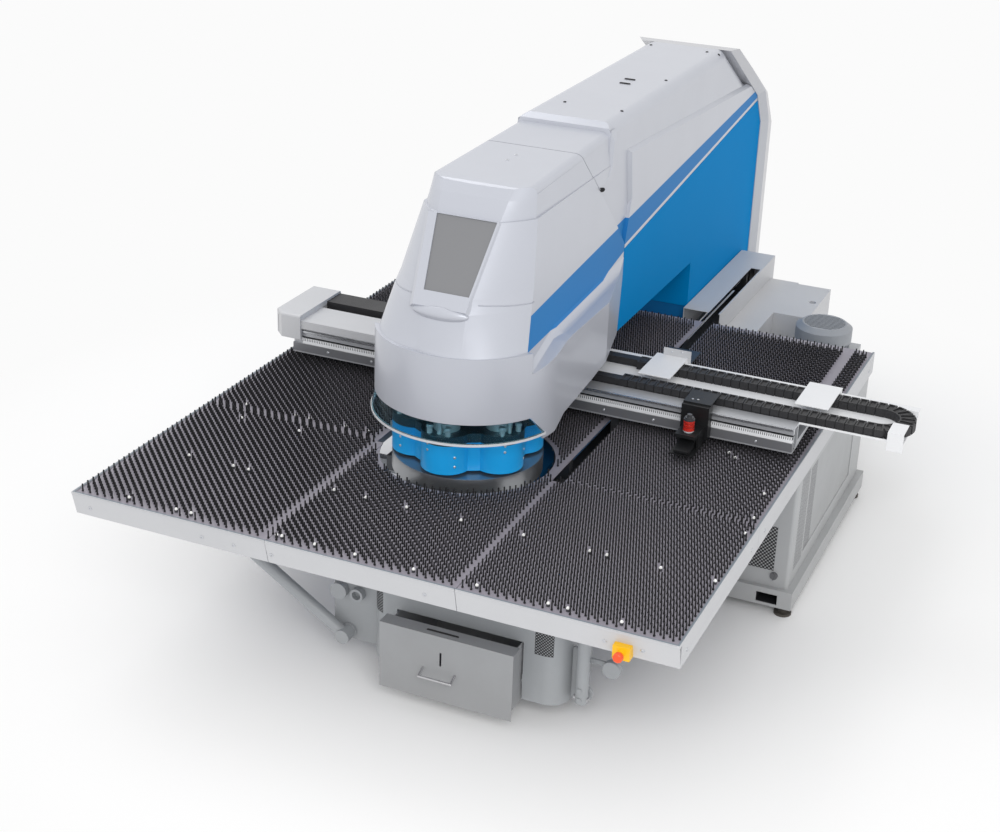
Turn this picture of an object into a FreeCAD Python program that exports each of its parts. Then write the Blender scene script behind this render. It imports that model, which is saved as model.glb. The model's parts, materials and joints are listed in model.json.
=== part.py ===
import FreeCAD, Part
import math
import os

# Turret punch press with a brush table, all sizes in millimetres.
# Working frame: X 0 at the table's right edge, Y 0 at its front edge, Z 0 at the table's rim.
# +Y runs from the operator's side to the back of the C-frame, +Z is up.

V = FreeCAD.Vector

# ---- table ----
table_width = 2900.0
table_depth = 3460.0
deck_height = 915.0          # rim top above the floor
rim_depth = 120.0
rim_slant = 30.0             # the front rim leans in by this at its lower edge
rim_lip = 12.0
rim_sheet = 4.0
deck_recess = 5.0
deck_sheet = 6.0
left_seam = 1889.0           # left wing's seam, from the right edge
slot_right_edge = 950.0      # drive slot between the centre and right decks
slot_width = 60.0
left_slot_width = 50.0
cross_seam = 1130.0
seam_gap = 3.0
pin_height = 38.0
pin_width = 7.0
pin_pitch = 40.0
pin_border = 37.0
deck_hole_radius = 425.0

# ---- C-frame ----
turret_x = -1480.0           # the turret's axis
turret_y = 1210.0
covers_x = -1440.0           # middle of the frame and its covers
frame_width = 524.0
panel_sheet = 8.0
column_front = table_depth + 193.0
column_rear = column_front + 1247.0
seam_foot = 2433.0           # where the hood, the cover and the panel meet
arm_underside = 283.0
base_top = -140.0
base_bottom = -780.0
nose_width = 420.0
nose_front = turret_y - 325.0
nose_underside = 430.0
roof_height = 1440.0
cover_wall = 6.0
cover_gap = 4.0              # between a cover and the steel below it
corner_fill = 52.0           # the covers' long roof corners are filled inside by this, behind their rounding
frame_air = 60.0             # steel roof below the covers' roof
trim_flare = 45.0
trim_depth = 115.0

# ---- turret head ----
lobe_count = 6
lobe_radius = 120.0
lobe_pitch = 245.0
turret_core_radius = 290.0
turret_bottom = 45.0
turret_top = 235.0
shaft_radius = 60.0
running_fit = 0.05
lower_turret_radius = 365.0
lower_turret_top = 34.0
lower_turret_thick = 90.0
tool_radius = 64.0
tool_height = 40.0
spring_count = 18
spring_pitch = 325.0
ram_radius = 35.0
ram_stroke = 32.0
ram_clearance = 3.0

# ---- hood ----
skirt_radius = 450.0
skirt_taper_y = seam_foot - 583.0       # the skirt's sides run straight back to here, then in to the covers
belt_end = turret_y - 205.0            # the belt round the front stops here, above the side ledges
skirt_top = 670.0
ledge_height = 645.0
skirt_bottom = 350.0
skirt_side_bottom = 222.0
hood_wall = 7.0
hood_x = -1450.0
hood_seam = 4.0              # open joint between the hood and the rear cover
crown_height = 1228.0        # from here up the hood's crown stands back
crown_step = 11.0            # by this
window_foot = 924.0
window_head = 1234.0
window_foot_y = turret_y - 348.0     # the hood's front face at the window's foot
window_head_y = turret_y - 136.0     # and at its head
border_foot = 872.0          # lower edge of the raised field round the window
belt_notch = 568.0           # the ledges drop to here beside the belt's ends
visor_radius = 465.0
visor_bottom = 250.0
visor_wall = 5.0
visor_start = 180.0
visor_sweep = 164.0

# ---- cross beam ----
beam_front = 1838.0
beam_left = -2810.0
beam_right = -50.0
beam_bottom = 45.0
beam_top = 180.0
beam_band = 90.0             # width of the beam's light top band
tray_rear = 2330.0
tray_right = 456.0
tray_sheet = 4.0
chain_width = 44.0
chain_thick = 80.0
chain_end = 475.0
beam_travel = 1250.0

# ---- clamps ----
clamp_right_x = -530.0
clamp_left_x = -1300.0
clamp_width = 140.0
jaw_front = 1588.0

# ---- base ----
base_cover_front = 500.0
base_cover_left = -1640.0
base_cover_right = -660.0
base_cover_bottom = -800.0
base_cover_corner = 100.0
sheet_wall = 3.0
drawer_left = -1509.0
drawer_right = -846.0
drawer_front = 350.0
drawer_top = -487.0
drawer_bottom = -829.0
drawer_length = 560.0
drawer_travel = 450.0
tube_radius = 30.0

# ---- right cabinet ----
cabinet_right = -20.0
cabinet_width = 420.0
cabinet_front = 1960.0
cabinet_rear = table_depth + 40.0
cabinet_top = -130.0
cabinet_bottom = -765.0
plinth_height = 100.0
plinth_overhang = 35.0
foot_radius = 45.0

# ---- rear boxes, drive and hydraulics ----
motor_x = -370.0
motor_y = table_depth + 330.0
motor_radius = 165.0
tank_left = -560.0
tank_right = -180.0
tank_rear = motor_y + 200.0
screw_radius = 20.0
fan_radius = 110.0

# The row's frame: the middle of the whole footprint, on the floor.
reach_right = chain_end
reach_left = beam_left - 115.0
reach_front = -65.0
reach_rear = column_rear + 27.0 + trim_depth
origin = V((reach_right + reach_left) / 2, (reach_front + reach_rear) / 2, -deck_height)


def box(x0, x1, y0, y1, z0, z1):
    """A block between two corners."""
    return Part.makeBox(x1 - x0, y1 - y0, z1 - z0, V(x0, y0, z0))


def post(x, y, z0, z1, radius):
    """An upright cylinder."""
    return Part.makeCylinder(radius, z1 - z0, V(x, y, z0))


def bar(start, end, radius):
    """A round bar between two points."""
    way = end - start
    return Part.makeCylinder(radius, way.Length, start, way)


def side_prism(points, x0, x1):
    """A (y, z) outline pushed along X."""
    corners = [V(x0, y, z) for y, z in points]
    return Part.Face(Part.makePolygon(corners + corners[:1])).extrude(V(x1 - x0, 0, 0))


def front_prism(points, y0, y1):
    """An (x, z) outline pushed along Y."""
    corners = [V(x, y0, z) for x, z in points]
    return Part.Face(Part.makePolygon(corners + corners[:1])).extrude(V(0, y1 - y0, 0))


def fuse(shapes):
    """One solid from overlapping or touching shapes."""
    whole = shapes[0].multiFuse(shapes[1:]) if len(shapes) > 1 else shapes[0]
    return whole.removeSplitter()


def cut(shape, tools):
    """The shape with every tool taken away."""
    return shape.cut(Part.makeCompound(tools))


def edges_where(shape, test):
    """The edges whose middle point passes the test."""
    return [edge for edge in shape.Edges if test(edge.CenterOfMass)]


def upright_edges(shape, test):
    """The straight edges along Z whose middle passes the test."""
    found = []
    for edge in shape.Edges:
        span = edge.BoundBox
        if span.ZLength > 1.0 and span.XLength < 0.01 and span.YLength < 0.01 and test(edge.CenterOfMass):
            found.append(edge)
    return found


parts = {}


def keep(name, shapes):
    """Put a sub-part in the row's frame and remember it under its name."""
    shapes = shapes if isinstance(shapes, list) else [shapes]
    solids = [solid for shape in shapes for solid in shape.Solids]
    whole = Part.makeCompound(solids) if len(solids) > 1 else solids[0]
    whole.translate(-origin)
    parts[name] = whole


# ---------------------------------------------------------------- C-frame

frame_left = covers_x - frame_width / 2
frame_right = covers_x + frame_width / 2
cover_left = frame_left - panel_sheet
cover_right = frame_right + panel_sheet
cover_half = frame_width / 2 + panel_sheet
throat_wall = column_front - panel_sheet
steel_roof = roof_height - frame_air
skin_step = 20.0             # the lower field of a cover's side stands out by this
steel_half = cover_half - skin_step - cover_wall - cover_gap
trim_front = column_rear + 27.0
trim_rear = trim_front + trim_depth
bevel_start = (column_rear - 810.0, roof_height)
bevel_mid = (column_rear - 111.0, 1033.0)
bevel_end = (trim_front, 829.0)
cover_foot = -129.0
cover_tail = column_rear - 85.0           # where the covers' lower edge meets the back slope
nose_left = hood_x - nose_width / 2
nose_right = hood_x + nose_width / 2
ram_y = turret_y - lobe_pitch
hood_roof_rear = roof_height - 38.0
hood_roof_fall = 0.033       # the hood's roof drops by this towards its front
guard_end_low = turret_y - 123.0     # the guard's slanted right end, at its foot
guard_end_high = turret_y - 208.0    # and at its head
seam_bend = (seam_foot - 435.0, 1167.0)     # the joint climbs from its foot through here
seam_head = (seam_foot - 665.0, 1402.0)     # to the roof
seam_tail = (seam_foot - 125.0, 275.0)      # and falls along the skirt's rear edge to here
roof_step = (seam_foot - 252.0, roof_height - 6.0)      # the rear cover's roof rises here
brow_height = 1190.0         # the rear cover's sides stand back above this, in front of that rise


def cover_line(y):
    """Height of the covers' lower edge, a straight line that climbs to the back."""
    return 726.4 + (y - seam_foot) * 0.1125


def hood_roof(y):
    """Height of the hood's roof, a straight line that climbs to the back."""
    return hood_roof_rear - (seam_foot - y) * hood_roof_fall


def step_in(steel):
    """Narrow the steel above the covers' lower edge, so that the cover's wall fits beside it."""
    y0 = seam_bend[0]
    y1 = column_rear + 50
    drop = 12.0
    outline = [(y0, cover_line(y0) - drop), (y1, cover_line(y1) - drop),
               (y1, roof_height + 50), (y0, roof_height + 50)]
    right = side_prism(outline, covers_x + steel_half, frame_right + 1)
    left = side_prism(outline, frame_left - 1, covers_x - steel_half)
    return cut(steel, [left, right])


def make_frame():
    """Base, column and arm of the C-frame, seated face to face."""
    base = side_prism([(930, base_top), (column_rear, base_top), (column_rear, base_bottom),
                       (1180, base_bottom), (1180, -430), (930, -430)], frame_left, frame_right)
    bearing = post(turret_x, turret_y, base_top - 200, base_top + 1, shaft_radius + running_fit)
    keep("frame_base", cut(base, [bearing]))
    column = side_prism([(column_front, base_top), (column_rear, base_top),
                         (column_rear, bevel_end[1] - 30), (bevel_mid[0] - 35, bevel_mid[1] - 30),
                         (bevel_start[0] - 30, steel_roof), (column_front, steel_roof)],
                        frame_left, frame_right)
    keep("frame_column", step_in(column))
    arm = side_prism([(column_front, arm_underside), (seam_foot - 83, arm_underside), (seam_foot + 15, 553),
                      (seam_foot + 15, 765), (seam_bend[0] + 65, seam_bend[1] - 35), (roof_step[0] + 50, brow_height),
                      (roof_step[0] + 60, steel_roof), (column_front, steel_roof)], frame_left, frame_right)
    nose = side_prism([(seam_foot + 67, nose_underside), (nose_front, nose_underside), (nose_front, 690),
                       (nose_front + 265, 1060), (nose_front + 535, 1220), (seam_foot - 283, 1270),
                       (seam_foot + 67, 1270)], nose_left, nose_right)
    shaft_bore = post(turret_x, turret_y, nose_underside - 1, nose_underside + 150, shaft_radius + 10)
    ram_bore = post(turret_x, ram_y, nose_underside - 1, nose_underside + 160, ram_radius + 10)
    keep("frame_arm", cut(fuse([step_in(arm), nose]), [shaft_bore, ram_bore]))


def make_side_panels():
    """Blue sheets on both sides of the arm and the column, up to the covers' lower edge."""
    reveal = 3.0
    outline = [(seam_foot - 123, arm_underside - panel_sheet), (seam_foot - 9, 553),
               (seam_foot, cover_line(seam_foot) - reveal),
               (cover_tail + 1, cover_line(cover_tail) - reveal), bevel_end, (trim_front, cover_foot),
               (throat_wall, cover_foot), (throat_wall, arm_underside - panel_sheet)]
    keep("side_panel_right", side_prism(outline, frame_right, cover_right))
    keep("side_panel_left", side_prism(outline, cover_left, frame_left))
    wall = box(frame_left, frame_right, throat_wall, column_front, 0, arm_underside - panel_sheet)
    ceiling = box(frame_left, frame_right, seam_foot - 81, column_front, arm_underside - panel_sheet, arm_underside)
    keep("throat_liner", [wall, ceiling])


def make_rear_cover():
    """Silver cover over the arm and the column, with a raised field on each side."""
    brow = (seam_foot - 290.0, brow_height)
    half = cover_half - skin_step
    side = steel_half + cover_gap

    def outline(inset):
        """Side outline of the cover, shrunk by the inset and opened below."""
        drop = 60.0 if inset else 0.0
        return [(seam_foot + inset, cover_line(seam_foot) - drop), (seam_foot + inset, 754.0),
                (seam_bend[0] + inset, seam_bend[1]), (brow[0] + inset, brow[1]),
                (roof_step[0] + inset, roof_step[1] - inset - 4 * drop / 10),
                (roof_step[0] + inset + drop, roof_step[1] - inset),
                (bevel_start[0] - inset / 2, bevel_start[1] - inset),
                (bevel_mid[0] - inset, bevel_mid[1] - inset / 2),
                (cover_tail - inset, cover_line(cover_tail) - drop)]

    def on_roof(c, reach):
        """True for the long edges between the roof or the back slope and a side wall."""
        return c.z > 1200 and c.y > roof_step[0] and abs(abs(c.x - covers_x) - reach) < 1

    shell = side_prism(outline(0), covers_x - half, covers_x + half)
    shell = shell.makeFillet(60.0, edges_where(shell, lambda c: on_roof(c, half)))
    field = [(seam_foot, cover_line(seam_foot)), (seam_foot, 754.0), (seam_foot + 55, 943), (seam_foot - 3, 1249),
             (column_rear - 300, 1140), bevel_mid, (cover_tail, cover_line(cover_tail))]
    pads = side_prism(field, cover_left, cover_right)
    front_edges = edges_where(pads, lambda c: abs(abs(c.x - covers_x) - cover_half) < 1
                              and (c.z > 1150 or (abs(c.y - seam_foot - 26) < 25 and c.z > 1000)))
    pads = pads.makeChamfer(skin_step - 1, front_edges)
    foot = [(seam_bend[0] + 12, seam_bend[1] - 14), (seam_bend[0] + 4, seam_bend[1]), (brow[0] - 10, brow[1] + 4),
            (brow[0] + 22, brow[1] + 36), (roof_step[0] - 4, roof_step[1] - 30)]
    back = [(roof_step[0] + 60, roof_step[1] - 30), (brow[0] + 78, brow[1] + 20), (brow[0] + 30, brow[1] - 44)]
    crest = [(y + 24, z - 14) for y, z in foot[:2]] + [(foot[2][0] + 10, foot[2][1] - 14)]
    crest += [(foot[3][0] + 18, foot[3][1]), (foot[4][0] + 18, foot[4][1] - 60)]
    crest += [(back[0][0] - 8, back[0][1] - 60)] + back[1:]
    bows = []
    for way in (-1, 1):
        wires = []
        for points, x in ((foot + back, covers_x + way * (half - 2)), (crest, covers_x + way * (half + 14))):
            corners = [V(x, y, z) for y, z in points]
            wires.append(Part.makePolygon(corners + corners[:1]))
        bows.append(Part.makeLoft(wires, True, True))
    behind = side_prism([(seam_bend[0] + 22, seam_bend[1] - 20), seam_bend, (seam_head[0], seam_head[1]),
                         (seam_head[0], roof_height + 20), (roof_step[0] + 20, roof_height + 20),
                         (roof_step[0] + 20, seam_bend[1] - 20)], covers_x - 600, covers_x + 600)
    shelf = cut(hood_shell(0).common(behind), roof_corners(0))
    front = seam_bend[0] - 20
    rear = seam_foot + 170
    mouth = side_prism([(front, 600), (rear, 600), (rear, brow_height), (front, brow_height - 30)],
                       covers_x - side, covers_x + side)
    gullet = side_prism([(front, brow_height - 60), (rear, brow_height - 60), (rear, hood_roof(rear) - 12),
                         (front, hood_roof(front) - 12)], covers_x - side + 20, covers_x + side - 20)
    inner = side_prism(outline(cover_wall), covers_x - side, covers_x + side)
    wedges = []
    for way in (-1, 1):
        flank = covers_x + way * (side + 1)
        wires = []
        for y, z in ((roof_step[0] - 20, roof_height), (bevel_start[0], roof_height), bevel_mid):
            corners = [V(flank, y, z), V(flank - way * corner_fill, y, z), V(flank, y, z - corner_fill)]
            wires.append(Part.makePolygon(corners + corners[:1]))
        wedges.append(Part.makeLoft(wires, True, True))
    inner = cut(inner, wedges)
    bevels = [side_prism([(roof_step[0] - 5, roof_step[1] - 24), (roof_step[0] + 50, roof_height + 2),
                          (roof_step[0] - 5, roof_height + 2)], covers_x - half - 1, covers_x + half + 1)]
    hollow = hood_shell(2 * cover_wall).common(side_prism([
        (front - 60, brow_height - 60), (seam_head[0] - 60, brow_height - 60), (seam_head[0] - 60, roof_height + 20),
        (roof_step[0] + 10, roof_height + 20), (roof_step[0] + 10, brow_height - 60)],
        covers_x - side + 20, covers_x + side - 20))
    solid = cut(fuse([shell, pads, shelf] + bows), bevels)
    keep("rear_cover", cut(solid, [inner, mouth, gullet, hollow]))


def make_rear_trim():
    """Flared cap along the back of the covers."""
    outline = [bevel_start, bevel_mid, bevel_end, (trim_front, cover_foot), (trim_rear, cover_foot),
               (trim_rear, bevel_end[1] - 0.13 * trim_depth),
               (bevel_mid[0] + 0.7 * trim_depth, bevel_mid[1] + 0.07 * trim_depth),
               (bevel_start[0] + 0.52 * trim_depth, bevel_start[1] + 0.05 * trim_depth)]
    half = cover_half + trim_flare
    cap = side_prism(outline, covers_x - half, covers_x + half)
    sides = edges_where(cap, lambda c: abs(abs(c.x - covers_x) - half) < 1 and
                        (abs(c.y - trim_front) < 1 or abs(c.y - (bevel_mid[0] + trim_front) / 2) < 1
                         or abs(c.y - (bevel_start[0] + bevel_mid[0]) / 2) < 1))
    keep("rear_trim", cap.makeChamfer(0.35 * trim_depth, sides))


# ---------------------------------------------------------------- hood and visor

def skirt_outline(inset, z):
    """Plan wire of the skirt: round front, straight sides, tapered to the cover's width."""
    r = skirt_radius - inset
    rear = seam_foot + 5
    right = turret_x + r
    left = turret_x - r
    points = [V(cover_right - 2 - inset, rear, z), V(right, skirt_taper_y, z), V(right, turret_y, z),
              V(left, turret_y, z), V(left, skirt_taper_y, z), V(cover_left + 2 + inset, rear, z)]
    front = Part.Arc(points[2], V(turret_x, turret_y - r, z), points[3]).toShape()
    lines = [Part.makeLine(points[0], points[1]), Part.makeLine(points[1], points[2]), front,
             Part.makeLine(points[3], points[4]), Part.makeLine(points[4], points[5]),
             Part.makeLine(points[5], points[0])]
    return Part.Wire(lines)


def hood_section(z, edge_half, left_extra, edge_y, win_half, win_y, front_bow, side_bow, rear_half, inset, crown):
    """Plan wire of the hood's upper shell, with a bowed front and bowed corner faces."""
    rear = seam_foot + 5
    ye = edge_y + inset * 0.6 + crown * 0.6
    yw = win_y + inset + crown
    w = win_half - inset * 0.6

    def corner_face(side, reach, bow):
        """Three points of a corner face, from the side's edge to the window's edge."""
        e = reach - inset - crown
        middle = V(hood_x + side * ((e + w) / 2 + bow * 0.7), (ye + yw) / 2 - bow * 0.7, z)
        return [V(hood_x + side * e, ye, z), middle, V(hood_x + side * w, yw, z)]

    right = corner_face(1, edge_half, side_bow)
    left = corner_face(-1, edge_half + left_extra, side_bow * 1.4)
    rear_right = V(covers_x + rear_half - inset, rear, z)
    rear_left = V(covers_x - rear_half + inset, rear, z)
    return Part.Wire([
        Part.makeLine(rear_right, right[0]), Part.Arc(*right).toShape(),
        Part.Arc(right[2], V(hood_x, yw - front_bow, z), left[2]).toShape(),
        Part.Arc(left[2], left[1], left[0]).toShape(),
        Part.makeLine(left[0], rear_left), Part.makeLine(rear_left, rear_right)])


def hood_loft(inset, crown):
    """The upper shell's walls, ruled between the belt, the window's foot, its head and the roof."""
    flush = cover_half - 2
    y = turret_y
    steps = [(ledge_height - 90, 343, 60, y - 210, 110, y - 420, 20, 38, flush),
             (skirt_top, 343, 60, y - 205, 110, y - 420, 20, 38, flush),
             (860, 322, 45, y - 125, 112, y - 375, 6, 26, flush),
             (window_foot, 315, 35, y - 95, 116, window_foot_y, 3, 20, flush),
             (window_head, 280, 5, y + 4, 156, window_head_y, 3, 10, flush - 14),
             (1310, 272, 0, y + 26, 166, y - 80, 4, 10, flush - 22),
             (roof_height + 10, 262, 0, y + 80, 190, y + 55, 4, 8, flush - 33)]
    return Part.makeLoft([hood_section(*step, inset, crown) for step in steps], True, True)


def hood_roof_prism(inset):
    """The space under the hood's roof line, with the roof's front edge rounded."""
    rear = seam_foot + 70
    bend = turret_y + 30
    top = hood_roof(bend)
    nose = [(bend, top), (bend - 44, top - 4), (bend - 74, top - 15), (bend - 100, top - 34)]
    roof = [(rear, hood_roof(rear))] + nose + [(bend - 640, top - 826)]
    outline = [(bend - 640, 500), (rear, 500)] + [(y + inset * 0.3, z - inset) for y, z in roof]
    return side_prism(outline, covers_x - 600, covers_x + 600)


def roof_corners(inset):
    """Strips along both roof edges that leave them rounded, laid along the hood's tapering sides."""
    radius = 34.0
    strips = []
    for way, front in ((-1, -1718.0), (1, -1192.0)):
        wires = []
        for y, x in ((turret_y - 30, front), (seam_foot + 20, covers_x + way * 242)):
            top = hood_roof(y) - inset
            x -= way * inset
            low = V(x, y, top - radius)
            high = V(x - way * radius, y, top)
            bend = V(x - way * radius * 0.293, y, top - radius * 0.293)
            above = V(high.x, y, top + 30)
            beyond = V(x + way * 40, y, top + 30)
            aside = V(beyond.x, y, low.z)
            wires.append(Part.Wire([Part.Arc(low, bend, high).toShape(), Part.makeLine(high, above),
                                    Part.makeLine(above, beyond), Part.makeLine(beyond, aside),
                                    Part.makeLine(aside, low)]))
        strips.append(Part.makeLoft(wires, True, True))
    return strips


def hood_shell(inset):
    """Solid of the upper shell: the body below the crown line and the crown, which stands back, above it."""
    front = turret_y - 600
    rear = seam_foot + 160
    body = hood_loft(inset, 0).common(box(covers_x - 600, covers_x + 600, front, rear, 500, crown_height - inset))
    crown = hood_loft(inset, crown_step).common(hood_roof_prism(inset))
    return fuse([body, crown.common(box(covers_x - 600, covers_x + 600, front, rear, 700, roof_height + 60))])


def belt_band(inset):
    """The skirt's upper rim between the ledge and the belt, round the front only."""
    ring = post(turret_x, turret_y, ledge_height - 15, skirt_top - inset, skirt_radius - inset)
    front = box(turret_x - 500, turret_x + 500, turret_y - 500, belt_end - inset, 0, skirt_top + 100)
    return ring.common(front)


def front_face_y(z):
    """Where the hood's front face lies at a height, between the window's foot and its head."""
    return window_foot_y + (z - window_foot) * (window_head_y - window_foot_y) / (window_head - window_foot)


def face_normal():
    """Outward normal of the hood's front face."""
    return V(0, window_foot - window_head, window_head_y - window_foot_y).normalize()


def window_corners(left, right, low, high, out):
    """Corners of a tapered field on the hood's front face, a little way out along its normal."""
    corners = []
    for side, margin, z in ((-1, left, low), (1, right, low), (1, right, high), (-1, left, high)):
        half = 110 + (z - window_foot) * 39.0 / (window_head - window_foot) + margin
        corners.append(V(hood_x + side * half, front_face_y(z), z) + face_normal() * out)
    return corners


def window_slab(margin, deep, proud):
    """The window's tapered shape, from deep below the hood's front face to proud of it."""
    corners = window_corners(-margin, -margin, window_foot + 8 + margin, window_head - 8 - margin, -deep)
    return Part.Face(Part.makePolygon(corners + corners[:1])).extrude(face_normal() * (deep + proud))


def window_border():
    """The raised field round the window with its sloping sides and its overhanging foot."""
    low = border_foot
    fields = [window_corners(64, 20, low - 6, crown_height, -16), window_corners(42, 10, low, crown_height, 7)]
    return Part.makeLoft([Part.makePolygon(field + field[:1]) for field in fields], True, True)


def hood_scoop(more):
    """The hollow below the window's raised border."""
    shape = FreeCAD.Matrix()
    shape.scale(132.0 + more, 26.0 + more, 30.0 + more)
    ball = Part.makeSphere(1.0).transformGeometry(shape)
    ball.rotate(V(0, 0, 0), V(1, 0, 0), -18)
    ball.translate(V(hood_x - 15, front_face_y(border_foot) + 12, border_foot - 22))
    return ball


def side_ledge(way, wall):
    """What is taken off the skirt's top beside the belt, so that the ledge drops to a point at its front."""
    near = turret_x + way * 600
    far = hood_x + way * (150 - wall)
    bend = belt_end + 285
    space = side_prism([(belt_end - wall, belt_notch - wall), (bend, ledge_height - 8 - wall),
                        (bend + 70, ledge_height - wall), (bend + 70, skirt_top + 60),
                        (belt_end - wall, skirt_top + 60)],
                       min(near, far), max(near, far))
    return space.cut(hood_loft(wall, 0))


def ledge_cove(way):
    """The hollow sweep between the upper shell's side and the ledge."""
    wires = []
    front = hood_x + way * 343 - (60 if way < 0 else 0)
    for y, x, z, r in ((belt_end + 1, front, belt_notch, 30), (belt_end + 355, front - way * 20, ledge_height, 62),
                       (seam_foot + 4, covers_x + way * (cover_half - 2), ledge_height, 52)):
        foot = V(x + way * r, y, z)
        head = V(x - way * 4, y, z + r)
        bend = V(x + way * r * 0.26, y, z + r * 0.29)
        under = V(foot.x, y, z - 5)
        back = V(x - way * 9, y, z - 5)
        wires.append(Part.Wire([Part.Arc(foot, bend, head).toShape(), Part.makeLine(head, V(back.x, y, head.z)),
                                Part.makeLine(V(back.x, y, head.z), back), Part.makeLine(back, under),
                                Part.makeLine(under, foot)]))
    return Part.makeLoft(wires, True, True)


def corner_grooves():
    """Shallow grooves round both corner faces that fall away from the window's foot."""
    ring = hood_loft(-1, 0).cut(hood_loft(3.0, 0))
    grooves = []
    for way in (-1, 1):
        near = hood_x + way * (150 if way > 0 else 176)
        far = hood_x + way * 420
        strip = front_prism([(near, 897), (far, 857), (far, 862), (near, 902)], window_foot_y - 160, belt_end + 107)
        grooves += ring.common(strip).Solids
    return grooves


def make_hood():
    """Moulded hood round the turret head: a round skirt, a faceted upper shell and lugs that seat on the nose."""
    def skirt(inset, z0, z1):
        return Part.Face(skirt_outline(inset, z0)).extrude(V(0, 0, z1 - z0))

    tail = side_prism([(turret_y - 20, skirt_side_bottom - 2), (turret_y + 90, 272), (turret_y + 450, 306),
                       (skirt_taper_y - 20, 330), (seam_foot - 123, 300), (seam_foot + 70, 300),
                       (seam_foot + 70, 0), (turret_y - 20, 0)],
                      covers_x - 700, covers_x + 700)
    mouth = Part.makeCylinder(visor_radius + 40, skirt_bottom, V(turret_x, turret_y, 0), V(0, 0, 1),
                              visor_sweep + 1)
    mouth.rotate(V(turret_x, turret_y, 0), V(0, 0, 1), visor_start - 1)
    mouth = mouth.cut(guard_end(3.0))
    coves = [ledge_cove(way).common(skirt(0, 500, 800)) for way in (-1, 1)]
    body = fuse([skirt(0, skirt_side_bottom, ledge_height), hood_shell(0), belt_band(0)])
    outer = fuse([cut(body, [side_ledge(1, 0), side_ledge(-1, 0), hood_scoop(0)]), window_border()] + coves)
    inner = fuse([skirt(hood_wall, skirt_side_bottom - 1, ledge_height - hood_wall),
                  hood_shell(hood_wall), belt_band(hood_wall)])
    inner = cut(inner, [side_ledge(1, hood_wall), side_ledge(-1, hood_wall), hood_scoop(hood_wall)])
    gap = hood_seam
    seam = side_prism([(seam_head[0] - gap, roof_height + 160), (seam_head[0] - gap, seam_head[1]),
                       (seam_bend[0] - gap, seam_bend[1]), (seam_foot - gap, 754), (seam_foot - gap, 710),
                       (seam_foot - 11 - gap, 553), (seam_tail[0] - gap, seam_tail[1]),
                       (seam_tail[0] - 30 - gap, seam_tail[1] - 75), (seam_foot + 270, seam_tail[1] - 75),
                       (seam_foot + 270, roof_height + 160)], covers_x - 700, covers_x + 700)
    window = window_slab(0, 30, 20)
    inner = cut(inner, roof_corners(hood_wall))
    shell = cut(outer, [inner, tail, mouth, seam, window] + corner_grooves() + roof_corners(0))
    lug_y = turret_y + 290
    lugs = [box(x0, x1, lug_y, lug_y + 40, lug_z, lug_z + 40).common(hood_shell(2))
            for x0, x1 in ((nose_right, nose_right + 200), (nose_left - 240, nose_left)) for lug_z in (760, 1080)]
    keep("front_hood", fuse([shell] + lugs))
    keep("hood_window", window_slab(0.5, hood_wall - 1, 1))


def ring_sector(radius_low, radius_high, z0, z1, wall, start, sweep):
    """A conical strip round the turret's axis."""
    outline = [V(turret_x + radius_low, turret_y, z0), V(turret_x + radius_high, turret_y, z1),
               V(turret_x + radius_high - wall, turret_y, z1), V(turret_x + radius_low - wall, turret_y, z0)]
    strip = Part.Face(Part.makePolygon(outline + outline[:1])).revolve(V(turret_x, turret_y, 0),
                                                                       V(0, 0, 1), sweep)
    strip.rotate(V(turret_x, turret_y, 0), V(0, 0, 1), start)
    return strip


def guard_end(clearance):
    """What lies behind the guard's slanted right end."""
    far = turret_y + 60
    run = (guard_end_high - guard_end_low) / (skirt_bottom - visor_bottom)
    foot = guard_end_low - run * visor_bottom
    outline = [(foot + clearance, 0), (foot + run * (skirt_bottom + 50) + clearance, skirt_bottom + 50),
               (far, skirt_bottom + 50), (far, 0)]
    return side_prism(outline, turret_x + 150, turret_x + visor_radius + 60)


def make_visor():
    """Clear guard round the front of the turret with a white lower rim."""
    glass = ring_sector(visor_radius, skirt_radius - 1, visor_bottom + 12, skirt_bottom, visor_wall,
                        visor_start, visor_sweep)
    glass = glass.cut(guard_end(0))
    rim = ring_sector(visor_radius + 3, visor_radius + 3, visor_bottom, visor_bottom + 12, 12,
                      visor_start, visor_sweep)
    keep("visor_glass", glass)
    keep("visor_rim", rim)


# ---------------------------------------------------------------- turret, tools and ram

def station_angle(k):
    """Angle of a tool station; the first stands at the front, under the ram."""
    return -math.pi / 2 + k * 2 * math.pi / lobe_count


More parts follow.
